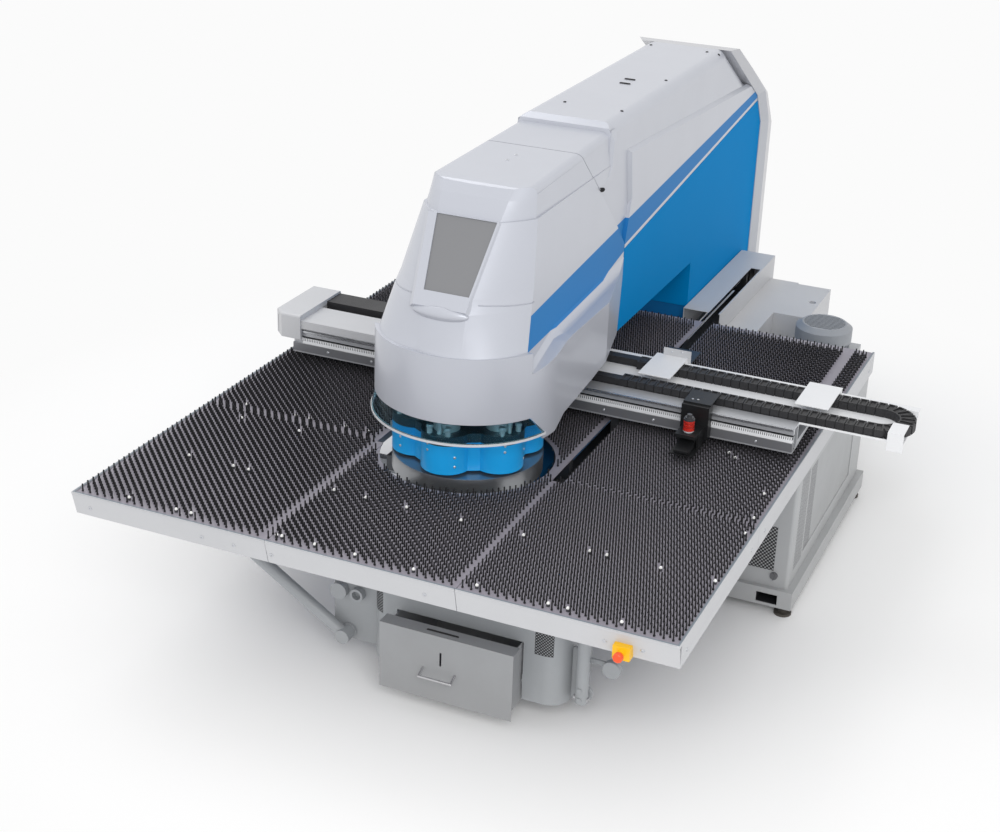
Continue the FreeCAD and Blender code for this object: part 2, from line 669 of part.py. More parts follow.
def make_turrets():
    """Upper turret with a lobe per station, the tools in it, and the lower turret with its bores."""
    lobes = [post(turret_x, turret_y, turret_bottom, turret_top, turret_core_radius)]
    tools = []
    for k in range(lobe_count):
        x = turret_x + lobe_pitch * math.cos(station_angle(k))
        y = turret_y + lobe_pitch * math.sin(station_angle(k))
        lobes.append(post(x, y, turret_bottom, turret_top, lobe_radius))
        tools.append(fuse([post(x, y, turret_top, turret_top + tool_height, tool_radius),
                           post(x, y, turret_top + tool_height, turret_top + tool_height + 12, 38)]))
    shaft = post(turret_x, turret_y, turret_top - 1, nose_underside + 140, shaft_radius)
    plate = post(turret_x, turret_y, turret_top - 1, turret_top + 15, 150)
    keep("upper_turret", fuse(lobes + [shaft, plate]))
    for k in range(spring_count):
        turn = 2 * math.pi * (k + 0.5) / spring_count
        x = turret_x + spring_pitch * math.cos(turn)
        y = turret_y + spring_pitch * math.sin(turn)
        if lobe_distance(x, y) < lobe_radius - 16:
            tools.append(fuse([post(x, y, turret_top, turret_top + 50, 11),
                               post(x, y, turret_top + 50, turret_top + 62, 15)]))
    keep("punch_tools", tools)
    table = post(turret_x, turret_y, lower_turret_top - lower_turret_thick, lower_turret_top,
                 lower_turret_radius)
    hub = post(turret_x, turret_y, base_top - 180, lower_turret_top - lower_turret_thick, shaft_radius)
    holes = []
    for k in range(lobe_count):
        x = turret_x + lobe_pitch * math.cos(station_angle(k))
        y = turret_y + lobe_pitch * math.sin(station_angle(k))
        holes.append(post(x, y, lower_turret_top - lower_turret_thick - 1, lower_turret_top + 1, 50))
    keep("lower_turret", cut(fuse([table, hub]), holes))


def lobe_distance(x, y):
    """Distance from the nearest lobe's axis."""
    return min(math.hypot(x - turret_x - lobe_pitch * math.cos(station_angle(k)),
                          y - turret_y - lobe_pitch * math.sin(station_angle(k)))
               for k in range(lobe_count))


def make_ram():
    """Ram above the front station, its housing, and the turret's upper bearing."""
    foot = turret_top + tool_height + 12 + ram_stroke + ram_clearance
    keep("ram", post(turret_x, ram_y, foot, nose_underside + 100, ram_radius))
    housing = cut(fuse([post(turret_x, ram_y, nose_underside - 70, nose_underside, 80),
                        post(turret_x, ram_y, nose_underside, nose_underside + 60, ram_radius + 10)]),
                  [post(turret_x, ram_y, nose_underside - 80, nose_underside + 70, ram_radius + running_fit)])
    bearing = cut(fuse([post(turret_x, turret_y, nose_underside - 60, nose_underside, 110),
                        post(turret_x, turret_y, nose_underside, nose_underside + 120, shaft_radius + 10)]),
                  [post(turret_x, turret_y, nose_underside - 70, nose_underside + 130,
                        shaft_radius + running_fit)])
    keep("head_bearings", [housing, bearing])


# ---------------------------------------------------------------- brush table

left_slot_right = -left_seam + 9.0
left_slot_left = left_slot_right - left_slot_width
slot_left = -slot_right_edge - slot_width
slot_right = -slot_right_edge
front_seam = (slot_left + slot_right) / 2


def deck_panel(x0, x1, y0, y1, left_rim, right_rim, front_rim):
    """One deck sheet with folded rims on its outer sides."""
    deck = [box(x0, x1, y0, y1, -deck_recess - deck_sheet, -deck_recess)]
    drop = -rim_depth
    if front_rim:
        deck.append(side_prism([(y0, 0), (y0 + rim_lip, 0), (y0 + rim_lip, -deck_recess - deck_sheet),
                                (y0 + rim_sheet, -deck_recess - deck_sheet - 1),
                                (y0 + rim_slant + rim_sheet, drop + rim_sheet),
                                (y0 + rim_slant + 30, drop + rim_sheet),
                                (y0 + rim_slant + 30, drop), (y0 + rim_slant, drop)], x0, x1))
    if left_rim:
        deck.append(box(x0, x0 + rim_lip, y0, y1, -deck_recess - deck_sheet, 0))
        deck.append(box(x0, x0 + rim_sheet, y0 + (rim_slant if front_rim else 0), y1, drop,
                        -deck_recess - deck_sheet))
    if right_rim:
        deck.append(box(x1 - rim_lip, x1, y0, y1, -deck_recess - deck_sheet, 0))
        deck.append(box(x1 - rim_sheet, x1, y0 + (rim_slant if front_rim else 0), y1, drop,
                        -deck_recess - deck_sheet))
    return fuse(deck)


def pin_rows(x0, x1, y0, y1):
    """Rows of brush pins as low ridges across a deck, left out over the turret's opening."""
    rows = []
    for k in range(int((table_depth - 2 * pin_border) / pin_pitch) + 1):
        y = pin_border + k * pin_pitch
        if not y0 <= y <= y1:
            continue
        for left, right in clear_spans(x0, x1, y):
            rows.append(box(left, right, y - pin_width / 2, y + pin_width / 2, -deck_recess,
                            pin_height - deck_recess))
    return rows


def clear_spans(x0, x1, y):
    """The stretches of a row that lie outside the turret's opening."""
    reach = deck_hole_radius + 12
    offset = abs(y - turret_y)
    if offset >= reach:
        return [(x0, x1)]
    half = math.sqrt(reach * reach - offset * offset)
    spans = [(x0, min(x1, turret_x - half)), (max(x0, turret_x + half), x1)]
    return [(left, right) for left, right in spans if right - left > pin_width]


def make_table():
    """Six deck sheets with rims, their rows of pins, and the tubes below that carry them."""
    half_gap = seam_gap / 2
    seam_y = cross_seam
    opening = post(turret_x, turret_y, -300, 50, deck_hole_radius)
    front = [deck_panel(-table_width, -left_seam - half_gap, 0, seam_y - half_gap, True, False, True),
             deck_panel(-left_seam + half_gap, front_seam - half_gap, 0, seam_y - half_gap, False, False, True),
             deck_panel(front_seam + half_gap, 0, 0, seam_y - half_gap, False, True, True)]
    rear = [deck_panel(-table_width, left_slot_left, seam_y + half_gap, table_depth, True, False, False),
            deck_panel(left_slot_right, slot_left, seam_y + half_gap, table_depth, False, False, False),
            deck_panel(slot_right, 0, seam_y + half_gap, table_depth, False, True, False)]
    keep("decks_front", [cut(panel, [opening]) for panel in front])
    keep("decks_rear", [cut(panel, [opening]) for panel in rear])
    side = 16.0                  # pins stand back from the slots by this
    keep("pins_left", pin_rows(-table_width + pin_border, left_slot_left - side, 0, table_depth))
    keep("pins_centre_front", pin_rows(left_slot_right + side, slot_left - side, 0, turret_y - 200))
    keep("pins_centre_rear", pin_rows(left_slot_right + side, slot_left - side, turret_y + 200, table_depth))
    keep("pins_right", pin_rows(slot_right + side, -pin_border / 2, 0, table_depth))


def tube_field(x0, x1, y0, y1, cross):
    """Rectangular tube frame under a deck: two long tubes and cross tubes butted between them."""
    long_tubes = [box(x0, x0 + tube_size, y0, y1, field_low, field_top),
                  box(x1 - tube_size, x1, y0, y1, field_low, field_top)]
    cross_tubes = [box(x0 + tube_size, x1 - tube_size, y, y + tube_size, field_low, field_top) for y in cross]
    return long_tubes + cross_tubes


tube_size = 50.0
field_top = -deck_recess - deck_sheet
field_low = field_top - 60.0
field_inset = rim_slant + rim_sheet + 32.0
outrigger_front = 1400.0
outrigger_rear = table_depth - 260.0
saddle_front = 1700.0        # tubes across the base under the middle deck
saddle_rear = table_depth - 610.0


def make_subframe():
    """Tubes under the decks, outriggers from the base, and the posts between them."""
    first = field_inset
    last = table_depth - 40
    cross = [first, 525, outrigger_front, outrigger_rear, last - tube_size]
    left = (-table_width + field_inset, left_slot_left - 30)
    right = (slot_right + 30, -field_inset)
    middle = (left_slot_right + 40, slot_left - 120)
    solids = tube_field(*left, first, last, cross) + tube_field(*right, first, last, cross)
    solids += tube_field(*middle, first, 700, [first, 650])
    solids += tube_field(*middle, saddle_front, saddle_rear + tube_size, [saddle_front, saddle_rear])
    for x in (frame_left + 5, frame_right - 55):
        solids.append(box(x, x + tube_size, 650, 1000, base_top, field_low))
        for y in (saddle_front, saddle_rear):
            solids.append(box(x, x + tube_size, y, y + tube_size, base_top, field_low))
    for y in (outrigger_front, outrigger_rear):
        far = cabinet_right - cabinet_width - 20
        solids.append(box(left[0], frame_left, y, y + tube_size, rail_low - 70, rail_low))
        solids.append(box(left[0], left[0] + tube_size, y, y + tube_size, rail_low, field_low))
        solids.append(box(frame_right, far, y, y + tube_size, rail_low - 70, rail_low))
        solids.append(box(far - tube_size, far, y, y + tube_size, rail_low, field_low))
    keep("table_subframe", solids)


# ---------------------------------------------------------------- drive along Y

rail_top = -140.0
rail_seat = -160.0
rail_low = -240.0
screw_x = slot_left - 75.0
screw_z = -75.0
screw_front = 1500.0
screw_rear = table_depth + 1020.0
rail_front = 1300.0
rail_rear_right = screw_rear + 220.0
rail_rear_left = table_depth + 140.0
rail_x_right = (slot_left + slot_right) / 2
rail_x_left = (left_slot_left + left_slot_right) / 2


def make_y_drive():
    """Rail beams beside the base, the rails, the ball screw and its bearings."""
    beam_half = 60.0
    rail_half = 10.0
    side = rail_x_right - 130
    solids = [box(side, rail_x_right + 40, rail_front, rail_rear_right, rail_low, rail_seat),
              box(rail_x_right - rail_half, rail_x_right + rail_half, rail_front + 20, screw_rear - 40,
                  rail_seat, rail_top),
              box(rail_x_left - beam_half, rail_x_left + beam_half, rail_front, rail_rear_left, rail_low, rail_seat),
              box(rail_x_left - rail_half, rail_x_left + rail_half, rail_front + 20, rail_rear_left - 20,
                  rail_seat, rail_top)]
    for y in (rail_front + 200, rail_front + 1200, table_depth - 10):
        solids.append(box(frame_right, side, y, y + 80, rail_low, rail_seat))
        solids.append(box(rail_x_left + beam_half, frame_left, y, y + 80, rail_low, rail_seat))
    journal = 14.0
    start = V(screw_x, screw_front - 50, screw_z)
    bore = bar(start, V(screw_x, screw_rear + 60, screw_z), journal + running_fit)
    for y in (screw_front - 40, screw_rear):
        block = box(screw_x - 45, screw_x + 40, y, y + 40, rail_seat, screw_z + 45)
        solids.append(cut(block, [bore]))
    keep("y_rails", solids)
    keep("y_screw", fuse([bar(V(screw_x, screw_front, screw_z), V(screw_x, screw_rear, screw_z), screw_radius),
                          bar(V(screw_x, screw_front - 40, screw_z), V(screw_x, screw_rear + 70, screw_z),
                              journal)]))
    keep("drive_motor", box(screw_x - 45, screw_x + 45, screw_rear + 70, screw_rear + 180, rail_seat,
                            screw_z + 45))


def make_slide_brackets():
    """Plates that carry the beam through the slots to the rails, with the screw's nut."""
    plate_low = pin_height - deck_recess + 3
    web = 20.0
    reach = 2880.0
    right = [box(rail_x_right - 45, rail_x_right + 140, beam_front + 12, reach, plate_low, beam_bottom),
             box(rail_x_right - web, rail_x_right + web, 1900, reach - 20, -110, plate_low + 1),
             box(screw_x - 35, rail_x_right + 28, 2640, reach - 20, screw_z - 35, screw_z + 35)]
    left = [box(rail_x_left - 60, rail_x_left + 60, beam_front + 12, 2240, plate_low, beam_bottom),
            box(rail_x_left - 15, rail_x_left + 15, 1900, 2230, -110, plate_low + 1)]
    for x, spots in ((rail_x_right, (1900, 2740)), (rail_x_left, (1900, 2110))):
        for y in spots:
            block = cut(box(x - 24, x + 24, y, y + 110, rail_top - 18, -110 + 1),
                        [box(x - 10.5, x + 10.5, y - 1, y + 111, rail_top - 25, rail_top + 0.5)])
            (right if x == rail_x_right else left).append(block)
    nut_bore = bar(V(screw_x, 2600, screw_z), V(screw_x, 2900, screw_z), screw_radius + running_fit)
    keep("slide_brackets", [cut(fuse(right), [nut_bore]), fuse(left)])


# ---------------------------------------------------------------- cross beam

rear_shelf = 168.0           # the beam's lower rear top, where tray and covers sit
chain_rear = tray_rear - 54 - 3
link_pitch = 46.0
chain_front = beam_front + beam_band + tray_sheet + 2
cover_end = -1940.0          # where the left covers stop and the open tray starts
chain_start = -1010.0


def make_beam():
    """Aluminium beam with its rail, its toothed rack and the covers on its left half."""
    outer = side_prism([(beam_front, beam_bottom), (beam_front, 98), (beam_front + 12, 98),
                        (beam_front + 12, 136), (beam_front, 136), (beam_front, beam_top),
                        (beam_front + beam_band, beam_top), (beam_front + beam_band, rear_shelf),
                        (2250, rear_shelf), (2250, 70), (beam_front + beam_band, beam_bottom)],
                       beam_left, beam_right)
    hollows = [box(beam_left - 1, beam_right + 1, beam_front + 22, beam_front + 80, 56, 168),
               box(beam_left - 1, beam_right + 1, beam_front + 92, 2240, 80, 158)]
    keep("x_beam", cut(outer, hollows))
    rail = box(beam_left + 60, beam_right - 4, beam_front - 12, beam_front, 167, 178)
    rack = side_prism([(beam_front - 3, 101), (beam_front + 12, 101), (beam_front + 12, 133),
                       (beam_front - 3, 133)], beam_left + 60, beam_right - 4)
    keep("x_rails", [rail, rack])
    cap = box(beam_left - 115, beam_left + 60, 1810, 2262, 130, 265)
    corner = [e for e in upright_edges(cap, lambda c: c.x < beam_left and c.y < 1900)]
    cap = cap.makeChamfer(60, corner)
    cap = cap.makeFillet(14, edges_where(cap, lambda c: abs(c.z - 265) < 1 and c.x < beam_left + 59))
    keep("beam_end_cap", cut(cap, [box(beam_left, beam_left + 70, beam_front - 12, 2250, 120, beam_top),
                                   box(beam_left - 100, beam_left + 61, 1850, 2245, 120, 235)]))
    cover = cut(box(beam_left + 60, cover_end, 1820, 2050, rear_shelf, 235),
                [box(beam_left + 63, cover_end - 3, 1823, 2047, rear_shelf - 1, 232),
                 box(beam_left + 50, cover_end + 10, 1810, beam_front + beam_band + 1, rear_shelf - 1, 190)])
    keep("beam_cover", cover)
    duct = cut(box(beam_left + 60, cover_end, 2104, 2250, rear_shelf, 252),
               [box(beam_left + 50, cover_end + 10, 2107, 2247, rear_shelf - 1, 249)])
    keep("chain_duct", duct)


def make_tray():
    """Open sheet tray for the energy chain, with its end bracket and the bridge plates."""
    front = beam_front + beam_band
    floor_top = rear_shelf + tray_sheet
    profile = side_prism([(front, rear_shelf), (tray_rear - 50, rear_shelf), (tray_rear - 50, 196),
                          (tray_rear, 196), (tray_rear, 200), (tray_rear - 54, 200),
                          (tray_rear - 54, floor_top), (front + tray_sheet, floor_top),
                          (front + tray_sheet, 178), (front, 178)], cover_end + 5, tray_right)
    keep("chain_tray", profile)
    chain_top = floor_top + chain_width
    plates = []
    for x0, x1 in ((-920.0, -750.0), (-108.0, 61.0)):
        foot = box(x0, x1, tray_rear - 46, tray_rear, 200, chain_top + 4)
        plates.append(fuse([box(x0, x1, 2035, tray_rear + 10, chain_top + 4, chain_top + 8), foot]))
    keep("bridge_plates", plates)


def chain_link(length):
    """One link of the energy chain, lying on its side along X from the origin."""
    gap = 4.0
    body = box(gap / 2, length - gap / 2, 0, chain_thick, 0, chain_width)
    return cut(body, [box(gap / 2 + 8, length - gap / 2 - 8, 8, chain_thick - 8, chain_width - 6, chain_width + 1)])


def make_chain():
    """Energy chain: two straight runs on the tray joined by a round end."""
    floor_top = rear_shelf + tray_sheet
    middle_y = (chain_front + chain_rear) / 2
    bend = (chain_rear - chain_front) / 2
    turn_x = chain_end - bend
    count = int((turn_x - chain_start) / link_pitch)
    first = turn_x - count * link_pitch
    core_z0 = floor_top + 4
    core_z1 = floor_top + chain_width - 6
    solids = [box(first, turn_x, chain_front + 6, chain_front + chain_thick - 6, core_z0, core_z1),
              box(first, turn_x, chain_rear - chain_thick + 6, chain_rear - 6, core_z0, core_z1)]
    ring = cut(post(turn_x, middle_y, core_z0, core_z1, bend - 6),
               [post(turn_x, middle_y, core_z0 - 1, core_z1 + 1, bend - chain_thick + 6),
                box(turn_x - 400, turn_x, middle_y - 400, middle_y + 400, core_z0 - 1, core_z1 + 1)])
    solids.append(ring)
    for k in range(count):
        for y in (chain_front, chain_rear - chain_thick):
            link = chain_link(link_pitch)
            link.translate(V(first + k * link_pitch, y, floor_top))
            solids.append(link)
    around = 10
    for k in range(around):
        turn = math.pi * (k + 0.5) / around
        link = chain_link(link_pitch)
        link.translate(V(-link_pitch / 2, bend - chain_thick, floor_top))
        link.rotate(V(0, 0, 0), V(0, 0, 1), math.degrees(turn) - 180)
        link.translate(V(turn_x, middle_y, 0))
        solids.append(link)
    keep("energy_chain", fuse(solids))


# ---------------------------------------------------------------- clamps

hinge_y = 1745.0
hinge_z = 70.0


def make_clamp(side, x):
    """Carriage, clamp body, air cylinder and jaw of one sheet clamp."""
    half = clamp_width / 2
    floor = pin_height - deck_recess
    carriage = box(x - half, x + half, 1776, beam_front - 4, 52, 222)
    channel = box(x - half - 1, x + half + 1, beam_front - 12.5, beam_front, 166.5, 178.5)
    top = box(x - half, x + half, 1800, 1950, 222, 230)
    lower = box(x - 60, x + 60, jaw_front, 1777, floor + 2.5, floor + 9)
    cheeks = [box(x + s * 48 - 5, x + s * 48 + 5, 1690, 1777, floor + 2.5, 110) for s in (-1, 1)]
    crown = box(x - 53, x + 53, 1640, 1777, 104, 122)
    pin = bar(V(x - 50, hinge_y, hinge_z), V(x + 50, hinge_y, hinge_z), 8)
    body = cut(fuse([carriage, top, lower, crown] + cheeks), [channel])
    keep("clamp_" + side, fuse([body, pin]))
    cylinder = [post(x, 1690, 122, 200, 22), post(x, 1690, 200, 214, 12)]
    for k in range(5):
        cylinder.append(post(x, 1690, 128 + k * 14, 136 + k * 14, 27))
    keep("cylinder_" + side, fuse(cylinder))
    arm = side_prism([(jaw_front, floor + 15), (1700, floor + 15), (1762, 56), (1762, 86), (1700, 86),
                      (1640, 70), (jaw_front, 60)], x - 38, x + 38)
    keep("jaw_" + side, cut(arm, [bar(V(x - 60, hinge_y, hinge_z), V(x + 60, hinge_y, hinge_z),
                                      8 + running_fit)]))


# ---------------------------------------------------------------- base cover, drawer, brackets

base_cover_rear = 865.0
runner_top = -700.0


def cover_plan(inset, z):
    """Plan wire of the base cover with its two round front corners."""
    r = base_cover_corner - inset
    left = base_cover_left + inset
    right = base_cover_right - inset
    front = base_cover_front + inset
    rear = base_cover_rear + inset
    k = r * (1 - math.sqrt(0.5))
    return Part.Wire([
        Part.makeLine(V(left, rear, z), V(left, front + r, z)),
        Part.Arc(V(left, front + r, z), V(left + k, front + k, z), V(left + r, front, z)).toShape(),
        Part.makeLine(V(left + r, front, z), V(right - r, front, z)),
        Part.Arc(V(right - r, front, z), V(right - k, front + k, z), V(right, front + r, z)).toShape(),
        Part.makeLine(V(right, front + r, z), V(right, rear, z)),
        Part.makeLine(V(right, rear, z), V(left, rear, z))])


def make_base_cover():
    """Sheet cover round the base's front, notched for the drawer, with the drawer's runners."""
    top = -rim_depth - 2
    outer = Part.Face(cover_plan(0, base_cover_bottom)).extrude(V(0, 0, top - base_cover_bottom))
    inner = Part.Face(cover_plan(sheet_wall, base_cover_bottom - 1)).extrude(V(0, 0, 2 + top - base_cover_bottom))
    mouth = box(drawer_left + 14, drawer_right - 14, 400, 520, base_cover_bottom - 1, drawer_top - 13)
    shell = cut(outer, [inner, mouth])
    tie = box(base_cover_left + 1, base_cover_right - 1, base_cover_rear - 25, base_cover_rear, base_top - 35, base_top)
    runners = []
    for x0, x1 in ((base_cover_left + 1, drawer_left + 15), (drawer_right - 15, base_cover_right - 1)):
        runners.append(box(x0, x1, 600, 630, -700, -690))
        runners.append(box(x0, x1, 820, 850, -700, -690))
    y0 = base_cover_front + 1
    for edge, inward in ((drawer_left, 1), (drawer_right, -1)):
        steps = sorted((edge + inward * 14, edge + inward * 17))
        ledge = sorted((edge + inward * 16, edge + inward * 23))
        runners.append(box(steps[0], steps[1], y0, base_cover_rear, -720, -670))
        runners.append(box(ledge[0], ledge[1], y0, base_cover_rear, -703, runner_top))
    keep("base_cover", fuse([shell, tie] + runners))


def make_drawer():
    """Open slug drawer with its wide front, folded top lip and bent handle."""
    wall = sheet_wall
    left = drawer_left + 24
    right = drawer_right - 24
    rear = drawer_front + drawer_length
    body = cut(box(left, right, drawer_front, rear, drawer_bottom + 14, drawer_top - 20),
               [box(left + wall, right - wall, drawer_front + wall, rear - wall,
                    drawer_bottom + 14 + wall, drawer_top)])
    strips = [box(x0, x1, base_cover_front + 20, rear - 20, runner_top + 0.3, runner_top + 12)
              for x0, x1 in ((drawer_left + 17.5, left + 1), (right - 1, drawer_right - 17.5))]
    front = box(drawer_left, drawer_right, drawer_front, drawer_front + wall, drawer_bottom, drawer_top)
    lip = box(drawer_left, drawer_right, drawer_front, drawer_front + 75, drawer_top - wall, drawer_top)
    handle_x = (drawer_left + drawer_right) / 2 - 30
    slot = box(handle_x - 80, handle_x + 80, drawer_front + 30, drawer_front + 42, drawer_top - 10, drawer_top + 1)
    notch = box(handle_x + 2, handle_x + 12, drawer_front - 1, drawer_front + wall + 1, -640, -570)
    keep("slug_drawer", cut(fuse([body, front, lip] + strips), [slot, notch]))
    z = -690.0
    r = 6.0
    grip = 45.0
    spread = 80.0
    a = V(handle_x - spread, drawer_front, z + 20)
    b = V(handle_x - spread, drawer_front - grip, z)
    c = V(handle_x + spread, drawer_front - grip, z)
    d = V(handle_x + spread, drawer_front, z + 20)
    ball = [Part.makeSphere(r, p) for p in (b, c)]
    handle = fuse([bar(a, b, r), bar(b, c, r), bar(c, d, r)] + ball)
    trim = box(drawer_left, drawer_right, drawer_front, drawer_front + 50, -800, -500)
    keep("drawer_handle", cut(handle, [trim]))


def make_brackets():
    """Side brackets of the base with their hubs, the left strut and the right leg."""
    strut_foot = V(-1796, 550, -746)
    strut_head = V(-2790, 550, -112)
    left = [box(-1875, base_cover_left, 596, 608, -790, -480),
            bar(V(-1742, 560, -529), V(-1742, 600, -529), 34),
            bar(V(-1838, 560, -529), V(-1838, 600, -529), 42),
            bar(V(-1796, 582, -746), V(-1796, 600, -746), 40)]
    right = [box(base_cover_right, -420, 596, 608, -790, -520),
             bar(V(-463, 560, -570), V(-463, 600, -570), 42),
             bar(V(-590, 582, -740), V(-590, 600, -740), 40)]
    bore = bar(V(-1742, 540, -529), V(-1742, 590, -529), 22)
    keep("base_brackets", [cut(fuse(left), [bore]), fuse(right)])
    roof = -deck_recess - deck_sheet - 60
    lug = box(-2830, -2740, 535, 565, -160, roof)
    pivot = bar(V(-1796, 515, -746), V(-1796, 582, -746), 36)
    strut = fuse([bar(strut_foot, strut_head, tube_radius), pivot, lug])
    leg = fuse([post(-590, 550, -765, roof, tube_radius), bar(V(-590, 515, -740), V(-590, 582, -740), 12),
                bar(V(-590, 515, -690), V(-590, 540, -690), 12)])
    keep("table_struts", [strut, leg])


# ---------------------------------------------------------------- cabinet, boxes, hydraulics

def make_cabinet():
    """Cabinet under the right rear deck on a plinth with lift pockets and round feet."""
    left = cabinet_right - cabinet_width
    body = box(left, cabinet_right, cabinet_front, cabinet_rear, cabinet_bottom, cabinet_top)
    body = body.makeFillet(18, upright_edges(body, lambda c: True))
    low = -deck_recess - deck_sheet - 60
    spacers = [box(left + 40, cabinet_right - 70, y, y + 50, cabinet_top - 1, low) for y in (2150.0, 3200.0)]
    recess = box(cabinet_right - 12, cabinet_right + 1, cabinet_front + 260, cabinet_rear - 260,
                 cabinet_bottom + 90, cabinet_top - 60)
    keep("right_cabinet", cut(fuse([body] + spacers), [recess]))
    keep("cabinet_grille", box(cabinet_right - 12, cabinet_right - 4, cabinet_front + 260, cabinet_rear - 260,
                               cabinet_bottom + 90, cabinet_top - 60))
    plinth = box(left - plinth_overhang, cabinet_right + plinth_overhang, cabinet_front - 30,
                 cabinet_rear + 20, cabinet_bottom - plinth_height, cabinet_bottom)
    pockets = [box(x0, x0 + 110, cabinet_front - 40, cabinet_rear + 30, cabinet_bottom - 85,
                   cabinet_bottom - 30) for x0 in (left + 20, cabinet_right - 150)]
    keep("cabinet_base", cut(plinth, pockets))
    latch_y = cabinet_front
    keep("door_latch", fuse([bar(V(-95, latch_y, -700), V(-95, latch_y - 12, -700), 20),
                             box(-98, -92, latch_y - 22, latch_y - 11, -718, -682)]))


def foot(x, y, top):
    """Levelling foot: a disc on the floor with its screw."""
    floor = -deck_height
    return fuse([post(x, y, floor, floor + 14, foot_radius), post(x, y, floor + 14, floor + 30, 24),
                 post(x, y, floor + 30, top, 12)])


def make_feet():
    """Levelling feet of the frame, the cabinet and the tank."""
    left = cabinet_right - cabinet_width - plinth_overhang
    right = cabinet_right + plinth_overhang
    solids = []
    for x in (left + 50, right - 50):
        for y in (cabinet_front + 20, cabinet_rear - 30):
            solids.append(foot(x, y, cabinet_bottom - plinth_height))
    for x in (frame_left + 80, frame_right - 80):
        for y in (1260.0, column_rear - 80):
            solids.append(foot(x, y, base_bottom))
    for x in (tank_left + 50, tank_right - 50):
        for y in (cabinet_rear + 160, tank_rear - 50):
            solids.append(foot(x, y, tank_bottom))
    keep("levelling_feet", solids)


tank_bottom = -865.0
tank_top = -175.0
box_low = -420.0
box_top = -115.0


def make_rear_boxes():
    """Covers over the drive's rear end and the two low boxes beside it."""
    wall = sheet_wall
    front = table_depth + 100
    rear = screw_rear + 280
    left = cover_right + 5
    right = slot_right + 10
    seat = -755.0                # the two low boxes meet here
    drive = cut(box(left, right, front, rear, rail_seat, 20),
                [box(left + wall, right - wall, front - 1, rear - wall, rail_seat - 1, 20 - wall),
                 box(slot_left, slot_right, front - 1, screw_rear - 30, 10, 21)])
    keep("drive_cover", drive)
    low = box(right, seat, front, rear - 60, box_low, box_top)
    side = cut(box(seat, seat + 215, front + 540, rear - 80, box_low, box_top),
               [post(seat + 170, rear - 370, box_top - 35, box_top + 5, 22)])
    keep("rear_boxes", [low, side])


def make_hydraulics():
    """Oil tank with the upright pump motor, its finned body, fan and slotted cowl."""
    keep("oil_tank", box(tank_left, tank_right, cabinet_rear + 20, tank_rear, tank_bottom, tank_top))
    body = [post(motor_x, motor_y, tank_top, -80, motor_radius - 22)]
    for k in range(24):
        turn = 2 * math.pi * k / 24
        fin = box(0, motor_radius - 8, -2, 2, tank_top + 12, -82)
        fin.rotate(V(0, 0, 0), V(0, 0, 1), math.degrees(turn))
        fin.translate(V(motor_x, motor_y, 0))
        body.append(fin)
    stub = post(motor_x, motor_y, -81, -56, 12)
    keep("pump_motor", fuse(body + [stub]))
    outer = fuse([post(motor_x, motor_y, -100, -25, motor_radius),
                  Part.makeCone(motor_radius, motor_radius - 35, 25, V(motor_x, motor_y, -25))])
    inner = fuse([post(motor_x, motor_y, -80, -27, motor_radius - 4),
                  Part.makeCone(motor_radius - 4, motor_radius - 38, 23, V(motor_x, motor_y, -27)),
                  post(motor_x, motor_y, -101, -79, motor_radius - 7.5)])
    slots = []
    for k in range(-5, 6):
        half = math.sqrt((motor_radius - 45) ** 2 - (k * 20) ** 2)
        slots.append(box(motor_x - half, motor_x + half, motor_y + k * 20 - 6, motor_y + k * 20 + 6, -10, 5))
    keep("fan_cowl", cut(outer, [inner] + slots))
    fan = [cut(post(motor_x, motor_y, -68, -36, 30), [post(motor_x, motor_y, -69, -55, 12 + running_fit)])]
    for k in range(6):
        blade = box(25, fan_radius, -2, 2, -62, -40)
        blade.rotate(V(0, 0, -51), V(1, 0, 0), 28)
        blade.rotate(V(0, 0, 0), V(0, 0, 1), k * 60)
        blade.translate(V(motor_x, motor_y, 0))
        fan.append(blade)
    keep("cooling_fan", fuse(fan))


def make_emergency_stop():
    """Emergency stop on the front rim: a box on the slanted rim and its mushroom button."""
    x = -235.0
    z = -88.0
    lean = rim_slant / rim_depth
    body = side_prism([(-18, z - 30), (-18, z + 30), (-lean * (z + 30), z + 30), (-lean * (z - 30), z - 30)],
                      x - 37, x + 37)
    collar = bar(V(x, -17, z), V(x, -30, z), 17)
    bore = bar(V(x, -10, z), V(x, -40, z), 8 + running_fit)
    keep("stop_box", cut(fuse([body, collar]), [bore]))
    cap = bar(V(x, reach_front, z), V(x, reach_front + 22, z), 21)
    cap = cap.makeFillet(8, edges_where(cap, lambda c: abs(c.y - reach_front) < 1))
    keep("stop_button", fuse([cap, bar(V(x, reach_front + 20, z), V(x, -18, z), 8)]))


make_frame()
make_side_panels()
make_rear_cover()
make_rear_trim()
make_hood()
make_visor()
make_turrets()
make_ram()
make_table()
make_subframe()
make_y_drive()
make_slide_brackets()
make_beam()
make_tray()
make_chain()
make_clamp("right", clamp_right_x)
make_clamp("left", clamp_left_x)
make_base_cover()
make_drawer()
make_brackets()
make_cabinet()
make_feet()
make_rear_boxes()
make_hydraulics()
make_emergency_stop()

os.makedirs("parts", exist_ok=True)
for name, shape in parts.items():
    shape.exportStep("parts/" + name + ".step")
print(len(parts), "sub-parts")
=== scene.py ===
import bpy, bmesh
import json
import math
from mathutils import Vector, Matrix

